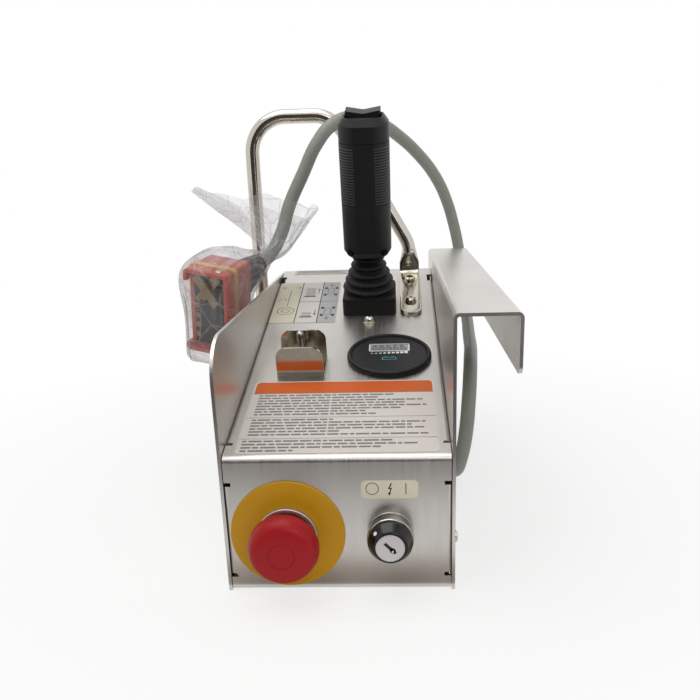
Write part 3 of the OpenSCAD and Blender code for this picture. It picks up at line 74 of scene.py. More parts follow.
# The bag's rings as shares of the connector: middle x, y, z, half width, half depth; then a turn in degrees
FILM_RINGS = [
    (0, 0.5, -0.72, 0.2, 0.2, 90), (0, 0.5, -0.65, 0.48, 0.48, 90), (0, 0.5, -0.56, 0.645, 0.66, 90),
    (0, 0.52, 0.03, 0.66, 0.68, 90), (0, 0.54, 0.29, 0.685, 0.79, 60), (0.03, 0.97, 0.36, 0.66, 0.56, 30),
    (0.14, 1.32, 0.35, 0.55, 0.45, 0), (0.32, 1.6, 0.37, 0.36, 0.32, 0), (0.39, 1.95, 0.39, 0.22, 0.21, 0),
    (0.29, 2.42, 0.51, 0.55, 0.3, 40), (-0.42, 2.82, 0.92, 1.72, 0.5, 60),
]
# Middle of the cable from the gland's boot to the connector's hood
CABLE_ROUTE = [
    (12, 173, 76), (12, 177, 76), (16.5, 201.5, 71.5), (29, 219.5, 58.5), (46, 226, 41), (63, 219.5, 23.5),
    (75.5, 201.5, 10.5), (80, 177, 6), (80, 135, 6), (80, 85, 6), (80, 35, 6), (82.5, 11, 12.5),
    (85, -6.5, 30), (88, -13, 54), (90.5, -6.5, 78), (93, 11, 95.5), (95.5, 35, 102), (98, 61, 103),
    (99.5, 87, 104), (101, 113, 106), (102.5, 139, 109), (103, 163, 114), (103, 185, 125), (102, 200, 144),
    (99.5, 208, 168), (94, 209, 194), (86, 205, 219), (74.5, 193, 241), (59, 178, 260), (41, 161, 276),
    (22, 140, 287.5), (3.5, 120.5, 291.5), (-15, 107, 285), (-28.5, 99.5, 269.5), (-40.5, 96, 246.5),
    (-53, 92, 221), (-59, 86, 201.5), (-66, 72.5, 186), (-73, 53.5, 178.5), (-75, 47, 177.5),
]
# Camera fitted to the photograph: its size, focal length and optical centre in pixels
PHOTO_PX = 700.0
FOCAL_PX = 726.0
CENTRE_PX = (373.8, 392.5)
SENSOR = 36.0
CAMERA_PLACE = Matrix((
    (0.999221, 0.015194, 0.036411, 0.038136),
    (0.03033, 0.294395, -0.955203, -0.537966),
    (-0.025233, 0.955563, 0.293705, 0.248234),
    (0, 0, 0, 1),
))


def linear(hex_colour):
    """An sRGB hex value as a linear colour with full alpha."""
    parts = [int(hex_colour[k:k + 2], 16) / 255 for k in (1, 3, 5)]
    return tuple(c / 12.92 if c <= 0.04045 else ((c + 0.055) / 1.055) ** 2.4 for c in parts) + (1.0,)


# ---------------------------------------------------------------- settings

class LiftBoxColours(bpy.types.PropertyGroup):
    """Colours of the box's finishes"""

    stainless: bpy.props.FloatVectorProperty(
        name="Stainless sheet", description="Brushed sheet of the console and the side plates",
        subtype="COLOR", size=4, min=0, max=1, default=linear("#cdc9c4"))
    stop_red: bpy.props.FloatVectorProperty(
        name="Stop button", description="Moulded head of the emergency stop",
        subtype="COLOR", size=4, min=0, max=1, default=linear("#a3151b"))
    stop_yellow: bpy.props.FloatVectorProperty(
        name="Stop plate", description="Plate behind the emergency stop",
        subtype="COLOR", size=4, min=0, max=1, default=linear("#c8930f"))
    band_orange: bpy.props.FloatVectorProperty(
        name="Label band", description="Printed band of the large label",
        subtype="COLOR", size=4, min=0, max=1, default=linear("#d2622a"))
    cable_grey: bpy.props.FloatVectorProperty(
        name="Cable jacket", description="Jacket of the control cable",
        subtype="COLOR", size=4, min=0, max=1, default=linear("#8a8d84"))
    plug_orange: bpy.props.FloatVectorProperty(
        name="Connector", description="Moulded housing of the connector",
        subtype="COLOR", size=4, min=0, max=1, default=linear("#c8401f"))


class LiftBoxSizes(bpy.types.PropertyGroup):
    """Sizes that scene detail takes, where the frame leaves them free"""

    cable_width: bpy.props.FloatProperty(
        name="Cable", description="Diameter of the control cable", unit="LENGTH", default=0.011)
    film_crumple: bpy.props.FloatProperty(
        name="Film crumple", description="Height of the creases of the clear bag", unit="LENGTH",
        default=0.0022)
    grain_width: bpy.props.FloatProperty(
        name="Brush line", description="Width of a brush line on the sheet", unit="LENGTH", default=0.0009)
    lamp_width: bpy.props.FloatProperty(
        name="Lamp", description="Width of the soft lamp overhead", unit="LENGTH", default=1.1)
    print_lift: bpy.props.FloatProperty(
        name="Ink", description="Height of the ink over the label", unit="LENGTH", default=0.00008)


def colours():
    return bpy.context.scene.lift_box_colours


def sizes():
    return bpy.context.scene.lift_box_sizes


# ---------------------------------------------------------------- node and finish tools

def add_node(tree, kind, settings=None, links=None):
    """Adds one node. Settings and links go by an input's name or number, or by a property's name."""
    node = tree.nodes.new(kind)
    for key, value in (settings or {}).items():
        if isinstance(key, int) or (key in node.inputs and not hasattr(node, key)):
            node.inputs[key].default_value = value
        else:
            setattr(node, key, value)
    for key, socket in (links or {}).items():
        tree.links.new(socket, node.inputs[key])
    return node


def start_finish(name, colour, metallic, roughness, more):
    """A new material with its constants on the shader's own sockets. None leaves a socket as it is."""
    material = bpy.data.materials.new(name)
    material.use_nodes = True
    material.diffuse_color = colour
    tree = material.node_tree
    shader = tree.nodes["Principled BSDF"]
    for key, value in {"Base Color": colour, "Metallic": metallic, "Roughness": roughness, **more}.items():
        if value is not None:
            shader.inputs[key].default_value = value
    return material, tree, shader


def shade(colour, factor):
    return tuple(min(1.0, c * factor) for c in colour[:3]) + (1.0,)


# Range that most of a noise's values fill, and the slow cloud of tone over each surface
NOISE_RANGE = {"From Min": 0.3, "From Max": 0.7}
CLOUD_SCALE = 14.0
CLOUD_TONE = {"To Min": 0.93, "To Max": 1.05}


def put_pattern(tree, shader, pitch, colour, spread, rough, depth, detail=4.0, lie=(1, 1, 1)):
    """One noise of a real pitch in metres drives colour, roughness and relief. lie stretches it on an axis."""
    place = add_node(tree, "ShaderNodeTexCoord").outputs["Object"]
    turn = add_node(tree, "ShaderNodeMapping", {"Scale": tuple(1 / (pitch * k) for k in lie)},
                    {"Vector": place})
    grain = add_node(tree, "ShaderNodeTexNoise", {"Scale": 1.0, "Detail": detail, "Roughness": 0.6},
                     {"Vector": turn.outputs["Vector"]}).outputs["Fac"]
    cloud = add_node(tree, "ShaderNodeTexNoise", {"Scale": CLOUD_SCALE, "Detail": 3.0},
                     {"Vector": place}).outputs["Fac"]
    tone = add_node(tree, "ShaderNodeMix",
                    {"data_type": "RGBA", 6: shade(colour, 1 - spread), 7: shade(colour, 1 + spread)},
                    {0: grain})
    soft = add_node(tree, "ShaderNodeMapRange", {**NOISE_RANGE, **CLOUD_TONE}, {"Value": cloud})
    worn = add_node(tree, "ShaderNodeVectorMath", {"operation": "MULTIPLY"},
                    {0: tone.outputs[2], 1: soft.outputs["Result"]})
    gloss = add_node(tree, "ShaderNodeMapRange", {**NOISE_RANGE, "To Min": rough[0], "To Max": rough[1]},
                     {"Value": grain})
    relief = add_node(tree, "ShaderNodeBump", {"Strength": 0.5, "Distance": depth}, {"Height": grain})
    tree.links.new(worn.outputs["Vector"], shader.inputs["Base Color"])
    tree.links.new(gloss.outputs["Result"], shader.inputs["Roughness"])
    tree.links.new(relief.outputs["Normal"], shader.inputs["Normal"])


# One row a finish: its tone (a setting or a hex value), metallic, roughness, refractive index and specular
# level, then its grain: pitch in metres, spread of tone, range of roughness and height in metres. None for the
# pitch is the brush line's setting, and elsewhere it leaves the shader's own value. A last entry holds the
# grain's detail and lie.
FINISH_ROWS = {
    # 1.4301 sheet, belt brushed front to back: a soft grey mirror drawn out into fine lines.
    # Real brush lines are 0.1 mm wide; they are drawn at the setting's width so that they show.
    "brushed_stainless_long": ("stainless", 1.0, 0.34, None, None, None, 0.07, (0.28, 0.42), 0.000015,
                               {"detail": 6.0, "lie": (1, 90, 60)}),
    # The same sheet with its brush lines upright on the walls and across the hook.
    "brushed_stainless_upright": ("stainless", 1.0, 0.32, None, None, None, 0.07, (0.27, 0.4), 0.000015,
                                  {"detail": 5.0, "lie": (70, 1, 90)}),
    # Bent and buffed stainless: clear reflections with a faint yellow cast and a slight haze.
    "polished_stainless": ("#c6c0b4", 1.0, 0.12, None, None, 0.009, 0.03, (0.1, 0.16), 0.000004,
                           {"detail": 1.0, "lie": (1, 1, 3)}),
    # Nickel plated steel fasteners: warm, bright, with small marks from the driver.
    "nickel_plate": ("#c9c3b4", 1.0, 0.2, None, None, 0.0012, 0.06, (0.14, 0.3), 0.00003),
    # Punched contacts: dull brass under worn tin, browner than the screws.
    "tinned_brass": ("#8a7355", 1.0, 0.3, None, None, 0.0015, 0.25, (0.2, 0.42), 0.00003),
    # Bright chrome on turned brass: nearly a mirror, dark where the room is dark.
    "chrome_plate": ("#a5a19b", 1.0, 0.07, None, None, 0.004, 0.02, (0.05, 0.1), 0.00001),
    # Turned and anodised aluminium: pale, with an even satin sheen.
    "satin_aluminium": ("#c9c4c4", 0.85, 0.36, None, None, 0.0007, 0.05, (0.3, 0.42), 0.00002),
    # Glossy moulded polyamide, fine spark-eroded skin: broad soft highlight, deep even red.
    "moulded_red": ("stop_red", 0.0, 0.36, 1.45, 0.25, 0.0008, 0.05, (0.32, 0.44), 0.00002),
    # Printed polycarbonate plate: mustard yellow, satin.
    "moulded_yellow": ("stop_yellow", 0.0, 0.42, 1.58, 0.2, 0.0009, 0.05, (0.36, 0.5), 0.00002),
    # Moulded ABS, fine grained: charcoal with a soft grey sheen where it turns to the light.
    "black_abs": ("#131314", 0.0, 0.45, 1.54, 0.25, 0.0008, 0.16, (0.38, 0.54), 0.00005),
    # Glass filled nylon of the grip: near black, matt, with a coarser moulded grain.
    "grip_nylon": ("#0f1012", 0.0, 0.42, 1.53, 0.3, 0.0007, 0.2, (0.42, 0.6), 0.00007, {"detail": 6.0}),
    # The same nylon on the grip's lands: a shade lighter as a painted sheen along the ribs, and shinier.
    "worn_nylon": ("#23262b", 0.0, 0.36, 1.53, 0.5, 0.0007, 0.16, (0.3, 0.44), 0.00003),
    # Polished black polyamide of the key switch's bezel: sharp highlights.
    "gloss_black": ("#070708", 0.0, 0.18, 1.53, 0.35, 0.002, 0.1, (0.13, 0.24), 0.00001),
    # Moulded neoprene: black, dry, with a faint dusting in its grain.
    "soft_rubber": ("#0d0d0d", 0.0, 0.5, 1.52, 0.25, 0.0011, 0.22, (0.48, 0.68), 0.00006),
    # Extruded oil resistant jacket: greenish grey, satin, with long faint scuffs.
    "cable_jacket": ("cable_grey", 0.0, 0.42, 1.5, None, 0.0022, 0.06, (0.34, 0.5), 0.00005),
    # Moulded polycarbonate of the connector: orange red, a little glossy.
    "moulded_orange": ("plug_orange", 0.0, 0.34, 1.58, 0.35, 0.0014, 0.08, (0.26, 0.4), 0.00005),
    # Natural rubber: honey yellow and dry.
    "elastic_band": ("#d9a53c", 0.0, 0.5, 1.52, None, 0.0009, 0.1, (0.42, 0.6), 0.00004),
    # Polyester label, matt laminate: warm white with the sheet's unevenness showing through.
    "label_film": ("#d9d2cb", 0.0, 0.45, 1.55, 0.25, 0.0016, 0.02, (0.4, 0.5), 0.00002),
    # Signal orange ink under the laminate, a little glossier than the film.
    "ink_orange": ("band_orange", 0.0, 0.4, 1.5, 0.2, 0.001, 0.05, (0.34, 0.46), 0.00001),
    # Liquid crystal window: grey green, behind a glossy cover, with its segments' faint columns.
    "display_glass": ("#a9aca8", 0.0, 0.2, 1.5, None, 0.0008, 0.12, (0.14, 0.22), 0.00001,
                      {"lie": (1, 40, 40)}),
    # Glass epoxy with solder mask: green with lighter tracks under it.
    "circuit_board": ("#1f6b43", 0.0, 0.3, 1.55, None, 0.003, 0.3, (0.24, 0.38), 0.00004, {"lie": (1, 8, 1)}),
}
# Screen printed inks: flat colour with a slight mottle of the mesh
FINISH_ROWS.update({
    name: (tone, 0.0, 0.48, 1.5, 0.25, 0.0009, 0.07, (0.42, 0.54), 0.00001) for name, tone in (
        ("ink_black", "#2b2a2a"), ("ink_grey", "#7d7a78"), ("ink_cream", "#d9d2bd"),
        ("ink_silver", "#b4b5b5"), ("ink_white", "#e9e9e6"), ("ink_teal", "#5fb9bd"))
})


def row_finish(name):
    """The material of one row of FINISH_ROWS."""
    tone, metallic, roughness, ior, specular, pitch, spread, rough, depth, *more = FINISH_ROWS[name]
    colour = linear(tone) if tone.startswith("#") else getattr(colours(), tone)
    material, tree, shader = start_finish(name, colour, metallic, roughness,
                                          {"IOR": ior, "Specular IOR Level": specular})
    put_pattern(tree, shader, pitch or sizes().grain_width, colour, spread, rough, depth,
                **(more[0] if more else {}))
    return material


def clear_film(name):
    """Thin polythene: milky where it is seen edge on, clearer face on, with painted highlights over its creases
    and along its folds.
    """
    material, tree, shader = start_finish(name, linear("#b7b3b3"), 0.0, 0.14,
                                          {"IOR": 1.5, "Coat Weight": 0.5, "Coat Roughness": 0.06})
    place = add_node(tree, "ShaderNodeTexCoord").outputs["Object"]
    creases = add_node(tree, "ShaderNodeTexNoise",
                       {"Scale": 26.0, "Detail": 2.0, "Roughness": 0.5, "Distortion": 0.8}, {"Vector": place})
    edge = add_node(tree, "ShaderNodeLayerWeight", {"Blend": 0.4})
    facets = add_node(tree, "ShaderNodeTexVoronoi", {"feature": "DISTANCE_TO_EDGE", "Scale": 52.0},
                      {"Vector": place})
    # Painted highlights: a whitish haze over the creases and bright glint lines along the folds; a milky rim
    # where the film turns away
    crease_highlight = add_node(tree, "ShaderNodeMapRange",
                    {"From Min": 0.38, "From Max": 0.68, "To Min": 0.07, "To Max": 0.24},
                    {"Value": creases.outputs["Fac"]})
    rim = add_node(tree, "ShaderNodeMapRange",
                   {"From Min": 0.1, "From Max": 0.95, "To Min": 0.08, "To Max": 0.5},
                   {"Value": edge.outputs["Facing"]})
    fold_glints = add_node(tree, "ShaderNodeMapRange",
                     {"From Min": 0.0, "From Max": 0.035, "To Min": 0.26, "To Max": 0.0},
                     {"Value": facets.outputs["Distance"]})
    cover = crease_highlight.outputs["Result"]
    for part in (rim, fold_glints):
        cover = add_node(tree, "ShaderNodeMath", {"operation": "ADD", "use_clamp": True},
                         {0: cover, 1: part.outputs["Result"]}).outputs["Value"]
    relief = add_node(tree, "ShaderNodeBump", {"Strength": 0.7, "Distance": 0.004},
                      {"Height": facets.outputs["Distance"]})
    tree.links.new(cover, shader.inputs["Alpha"])
    tree.links.new(relief.outputs["Normal"], shader.inputs["Normal"])
    return material


FINISHES = {}


def finish(name):
    """A finish by its name, made once."""
    if name not in FINISHES:
        FINISHES[name] = clear_film(name) if name == "clear_film" else row_finish(name)
    return FINISHES[name]


def dress(finish_name, *names):
    """Gives CAD nodes a finish."""
    for name in names:
        mesh = NODES[name].data
        mesh.materials.clear()
        mesh.materials.append(finish(finish_name))


# ---------------------------------------------------------------- shapes

def front_frame(x, z):
    """Frame on the front panel: x right, y up, z out of the panel."""
    return Matrix(((1, 0, 0, x), (0, 0, -1, FRONT_Y), (0, 1, 0, z), (0, 0, 0, 1)))


def top_frame(x, s):
    """Frame on the top panel: x right, y up the slope, z out of the panel."""
    c, n = math.cos(SLOPE), math.sin(SLOPE)
    return Matrix(((1, 0, 0, x), (0, c, -n, FRONT_Y + s * c), (0, n, c, FRONT_H + s * n), (0, 0, 0, 1)))


def plug_frame():
    turn = Matrix.Identity(4)
    for angle, axis in zip(PLUG_TURN, "XYZ"):
        turn = Matrix.Rotation(math.radians(angle), 4, axis) @ turn
    return Matrix.Translation(PLUG_PLACE) @ turn


def add_piece(name, points, faces, place, finishes, body, face_finish=None, crease=35.0, smooth=True):
    """A mesh from points in millimetres of a local frame; it rides on a body."""
    mesh = bpy.data.meshes.new(name)
    mesh.from_pydata([(place @ Vector(p)) * MM for p in points], [], faces)
    for one in finishes:
        mesh.materials.append(finish(one))
    if face_finish:
        mesh.polygons.foreach_set("material_index", face_finish)
    work = bmesh.new()
    work.from_mesh(mesh)
    bmesh.ops.remove_doubles(work, verts=work.verts, dist=1e-7)
    bmesh.ops.recalc_face_normals(work, faces=work.faces)
    work.to_mesh(mesh)
    work.free()
    if smooth:
        mesh.shade_smooth()
        mesh.set_sharp_from_angle(angle=math.radians(crease))
    piece = bpy.data.objects.new(name, mesh)
    bpy.context.scene.collection.objects.link(piece)
    if body:
        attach(piece, body)
    return piece


def softened(line, reach, steps=5):
    """An outline whose inner corners are rounded over that reach."""
    out = [line[0]]
    for a, b, c in zip(line, line[1:], line[2:]):
        a, b, c = Vector(a), Vector(b), Vector(c)
        before, after = a - b, c - b
        cut = min(reach, before.length * 0.5, after.length * 0.5)
        if cut < 1e-6:
            out.append(tuple(b))
            continue
        p, q = b + before.normalized() * cut, b + after.normalized() * cut
        for k in range(steps + 1):
            t = k / steps
            out.append(tuple(p.lerp(b, t).lerp(b.lerp(q, t), t)))
    out.append(line[-1])
    return out


def ring_faces(rings, sides):
    """Quads between closed rings of points that follow each other."""
    return [(j * sides + k, j * sides + (k + 1) % sides, (j + 1) * sides + (k + 1) % sides, (j + 1) * sides + k)
            for j in range(rings - 1) for k in range(sides)]


def turned(name, outline, place, finish_name, body, sides=96, crease=35.0):
    """A turned piece from an outline of (radius, height) in millimetres."""
    points = [(r * math.cos(2 * math.pi * k / sides), r * math.sin(2 * math.pi * k / sides), z)
              for r, z in outline for k in range(sides)]
    return add_piece(name, points, ring_faces(len(outline), sides), place, [finish_name], body,
                     crease=crease)


def swept(name, line, halves, place, finish_name, body, sides=40, side=(1, 0, 0)):
    """A bar along a line; halves gives each point's half sizes and squareness."""
    line = [Vector(p) for p in line]
    points = []
    across = Vector(side)
    for k, p in enumerate(line):
        ahead = (line[min(k + 1, len(line) - 1)] - line[max(k - 1, 0)]).normalized()
        across = (across - ahead * across.dot(ahead)).normalized()
        up = ahead.cross(across)
        w, h, e = halves[k]
        for j in range(sides):
            a = 2 * math.pi * j / sides
            c, s = math.cos(a), math.sin(a)
            c, s = math.copysign(abs(c) ** e, c), math.copysign(abs(s) ** e, s)
            points.append(tuple(p + across * w * c + up * h * s))
    faces = ring_faces(len(line), sides)
    faces.append(tuple(range(sides))[::-1])
    faces.append(tuple((len(line) - 1) * sides + j for j in range(sides)))
    return add_piece(name, points, faces, place, [finish_name], body, crease=50.0)


def rounded(w, l, r, cx=0.0, cy=0.0, corners=(1, 1, 1, 1), steps=6):
    """Outline of a rounded rectangle. Corners: right rear, left rear, left front, right front."""
    out = []
    for k, (sx, sy) in enumerate(((1, 1), (-1, 1), (-1, -1), (1, -1))):
        if not corners[k] or r <= 0:
            out.append((cx + sx * w / 2, cy + sy * l / 2))
            continue
        for j in range(steps + 1):
            a = math.radians(90 * k + 90 * j / steps)
            out.append((cx + sx * (w / 2 - r) + r * math.cos(a), cy + sy * (l / 2 - r) + r * math.sin(a)))
    return out


def bar(a, b, width):
    """A printed stroke from a to b."""
    a, b = Vector(a), Vector(b)
    side = (b - a).normalized().orthogonal() * width / 2
    return [tuple(a - side), tuple(b - side), tuple(b + side), tuple(a + side)]


def rect(left, low, right, high):
    """Outline of a plain rectangle."""
    return [(left, low), (right, low), (right, high), (left, high)]


def circle_line(cx, cy, r, steps):
    """A closed circle as a line of points."""
    return [(cx + r * math.cos(math.radians(360.0 * k / steps)),
             cy + r * math.sin(math.radians(360.0 * k / steps))) for k in range(steps + 1)]


def line_bars(line, width):
    return [bar(a, b, width) for a, b in zip(line, line[1:])]


def printed(name, shapes, place, height, finishes, body="box"):
    """Flat printed shapes on a panel: each is a finish number and an outline."""
    points, faces, kinds = [], [], []
    for kind, outline in shapes:
        faces.append(tuple(range(len(points), len(points) + len(outline))))
        points += [(x, y, height + 0.02 * kind) for x, y in outline]
        kinds.append(kind)
    return add_piece(name, points, faces, place, finishes, body, face_finish=kinds, smooth=False)


# ---------------------------------------------------------------- pieces

class LIFTBOX_OT_camera(bpy.types.Operator):
    """Sets the camera at the photograph's place"""

    bl_idname = "liftbox.camera"
    bl_label = "Camera"

    def execute(self, context):
        data = bpy.data.cameras.new("photo_camera")
        data.sensor_width = SENSOR
        data.lens = SENSOR * FOCAL_PX / PHOTO_PX
        data.shift_x = (PHOTO_PX / 2 - CENTRE_PX[0]) / PHOTO_PX
        data.shift_y = (CENTRE_PX[1] - PHOTO_PX / 2) / PHOTO_PX
        data.clip_start = 0.01
        camera = bpy.data.objects.new("photo_camera", data)
        context.scene.collection.objects.link(camera)
        camera.matrix_world = CAMERA_PLACE
        context.scene.camera = camera
        return {"FINISHED"}


class LIFTBOX_OT_cable(bpy.types.Operator):
    """Lays the control cable from the gland to the connector"""

    bl_idname = "liftbox.cable"
    bl_label = "Cable"

    def execute(self, context):
        data = bpy.data.curves.new("control_cable", "CURVE")
        data.dimensions = "3D"
        data.bevel_depth = sizes().cable_width / 2
        data.bevel_resolution = 8
        data.resolution_u = 10
        data.use_fill_caps = True
        spline = data.splines.new("BEZIER")
        spline.bezier_points.add(len(CABLE_ROUTE) - 1)
        for knot, p in zip(spline.bezier_points, CABLE_ROUTE):
            knot.co = Vector(p) * MM
            knot.handle_left_type = knot.handle_right_type = "AUTO"
        data.materials.append(finish("cable_jacket"))
        cable = bpy.data.objects.new("control_cable", data)
        context.scene.collection.objects.link(cable)
        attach(cable, "box")
        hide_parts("cable")
        context.view_layer.update()
        dress("cable_jacket", "cable")
        dress("black_abs", "inner_cable", "cable_gland")
        # Strain relief: five narrowing ribs on the rear wall's gland
        boot_r, boot_l, ribs = 9.0, 22, 5
        rib_line = ((0.3, 0.15), (0.2, 0.6), (-0.7, 0.7), (-0.7, 0.95))
        boot = [(0, 0), (boot_r, 0)]
        for k in range(ribs):
            r = boot_r - 0.4 * (k + 1)
            boot += [(r + out, boot_l * (k + share) / ribs) for out, share in rib_line]
        boot += [(7.0, 21.6), (6.4, boot_l), (0, boot_l)]
        place = Matrix(((1, 0, 0, 12), (0, 0, 1, 151), (0, -1, 0, 76), (0, 0, 0, 1)))
        relief = turned("cable_strain_relief", softened(boot, 0.4, 3), place, "soft_rubber", "box")
        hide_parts("gland_boot")
        return {"FINISHED"}


class LIFTBOX_OT_sheet_metal(bpy.types.Operator):
    """Finishes the console, the side plates and the covers"""

    bl_idname = "liftbox.sheet_metal"
    bl_label = "Sheet metal"

    def execute(self, context):
        dress("brushed_stainless_long", "console_sheet", "bottom_cover")
        dress("brushed_stainless_upright", "left_side_plate", "right_hook_plate", "rear_cover")
        return {"FINISHED"}


class LIFTBOX_OT_fasteners(bpy.types.Operator):
    """Finishes the screws and nuts"""

    bl_idname = "liftbox.fasteners"
    bl_label = "Fasteners"

    def execute(self, context):
        dress("nickel_plate", "side_screws", "side_nuts", "cover_screws", "ring_nuts", "base_screws",
              "handle_screws", "handle_nuts", "connector_screws")
        dress("black_abs", "grip_screws")
        # Domed nut over the base screw in front of the stick
        dome = [(0, 5.0), (1.5, 4.9), (3.0, 4.2), (3.9, 3.0), (4.1, 1.6), (4.1, 0.9), (4.9, 0.8), (5.0, 0.4),
                (5.0, 0.0)]
        screw_before_stick = 31.5
        seat = top_frame(STICK_PLACE[0], STICK_PLACE[1] - screw_before_stick)
        turned("base_screw_dome", softened(dome, 0.3, 3), seat, "nickel_plate", "box", sides=40,
               crease=50.0)
        return {"FINISHED"}


def form_rows(low, high, left, right, lengths):
    """Ruled rows of a blank form, as grey strokes of differing length."""
    pitch, thick, gap = 3.3, 1.5, 1.1
    out, y, k = [], high - pitch * 0.8, 0
    while y > low + pitch * 0.3:
        x, end, n = left, left + (right - left) * lengths[k % len(lengths)], k
        while x < end - 2:
            dash = min(2.6 + 1.1 * (n * 5 % 7), end - x)
            out.append((1, bar((x, y), (x + dash, y), thick)))
            x += dash + gap
            n += 1
        y -= pitch
        k += 1
    return out


class LIFTBOX_OT_labels(bpy.types.Operator):
    """Prints plain generic marks on the four labels"""

    bl_idname = "liftbox.labels"
    bl_label = "Labels"

    def execute(self, context):
        film_t = 0.3
        lift = film_t + sizes().print_lift / MM
        dress("label_film", "warning_label", "diagram_label", "strip_label", "key_label")
        # Large label: an orange band and three fields of blank rows
        large = [(0, rounded(119.6, 14.6, 3.0, 0, 79.9, corners=(1, 1, 0, 0)))]
        large += [(1, bar((-60.4, s), (60.4, s), 0.35)) for s in (72.4, 43.0, 19.6)]
        for low, high, left, lengths in ((43.0, 72.4, -56, (0.8, 0.72, 0.98, 0.88, 0.99, 0.84, 0.64, 0.7)),
                                         (19.6, 43.0, -56, (0.46, 0.98, 0.9, 0.97, 0.5, 0.99, 0.42)),
                                         (4.8, 19.6, -58, (0.82, 0.93, 0.76, 0.3))):
            large += form_rows(low, high, left, 56, lengths)
        printed("large_label_print", large, top_frame(0, 0), lift, ["ink_orange", "ink_grey"])

        # Diagram label: three fields with plain arrows and wheel marks
        left, right, low, high, edge = -66.6, -13.2, 181.5, 263.5, 0.4
        first, second, mid = -46.2, -28.1, -20.6
        fields = [(0, rect(left + edge, low + edge, first, high - edge)),
                  (1, rect(second, low + edge, right - edge, high - edge))]
        marks = [bar((first, low), (first, high), 0.7), bar((second, low), (second, high), 0.7),
                 bar((first, 222), (right, 222), 0.5)]
        for cy, way in ((243, 1), (202, -1)):
            for sx in (-1, 1):
                for sy in (-1, 1):
                    x, y = mid + sx * 4.6, cy + sy * 7
                    marks.append(rect(x - 1.2, y - 2, x + 1.2, y + 2))
                marks.append(bar((mid + sx * 2.6, cy - 6), (mid + sx * 2.6, cy + 6), 0.4))
            marks += [bar((-23.2, cy - 6), (-18.0, cy - 6), 0.4), bar((-23.2, cy + 6), (-18.0, cy + 6), 0.4)]
            tip = cy + way * 15
            marks += [bar((mid, cy + way * 9), (mid, tip), 0.5), bar((-22.2, tip - way * 3), (mid, tip), 0.5),
                      bar((-19.0, tip - way * 3), (mid, tip), 0.5)]
            # Folding arms, open above and closed below
            for k in range(4 if way > 0 else 2):
                y = cy - 9 + k * 4.4
                marks += [bar((-42, y), (-34, y + 3.6), 0.45), bar((-34, y), (-42, y + 3.6), 0.45)]
            marks += [bar((-43, cy - 10), (-33, cy - 10), 1.6),
                      bar((-31, cy - way * 4), (-31, cy + way * 6), 0.5),
                      bar((-32.2, cy + way * 3.5), (-31, cy + way * 6), 0.5),
                      bar((-29.8, cy + way * 3.5), (-31, cy + way * 6), 0.5)]
        # A lever seen from the front with arrows to both sides
        lever = -55.5
        marks += [bar((lever, 214), (lever, 246), 0.5)] + line_bars(circle_line(lever, 204, 7.0, 28), 0.5)
        marks += line_bars(circle_line(lever, 204, 3.2, 20), 0.5)
        for sx in (-1, 1):
            tip = lever + sx * 8
            marks += [bar((lever + sx * 3, 252), (tip, 252), 0.5)]
            marks += [bar((tip - sx * 2, s), (tip, 252), 0.5) for s in (249.5, 254.5)]
        marks += line_bars([(-64, 224), (-61, 229), (-58.5, 229), (-57.5, 224)], 0.45)
        fields += [(2, m) for m in marks]
        printed("diagram_label_print", fields, top_frame(0, 0), lift, ["ink_cream", "ink_silver", "ink_black"])

        strip = [(0, bar((-55, s), (-55 + 46 * share, s), 0.7))
                 for s, share in ((290.6, 1.0), (288.6, 0.9), (286.5, 0.96))]
        printed("strip_label_print", strip, top_frame(0, 0), lift, ["ink_grey"])

        # Key label: off circle, spark and on bar
        key = [(0, rounded(33.4, 11.1, 2.7))]
        key += [(1, m) for m in line_bars(circle_line(-10.3, 0.6, 3.7, 40), 0.42)]
        key += [(1, bar((9.6, -3.1), (9.6, 3.9), 0.5))]
        key += [(1, m) for m in (bar((1.1, 4.0), (-0.6, 0.3), 0.75), bar((-0.7, 0.5), (1.2, 0.9), 0.6),
                                 bar((1.1, 1.0), (-0.2, -2.6), 0.7))]
        key += [(1, [(-0.9, -1.9), (0.9, -2.4), (-0.6, -4.2)])]
        printed("key_label_print", key, front_frame(31.0, 67.5), lift, ["ink_cream", "ink_black"])
        return {"FINISHED"}


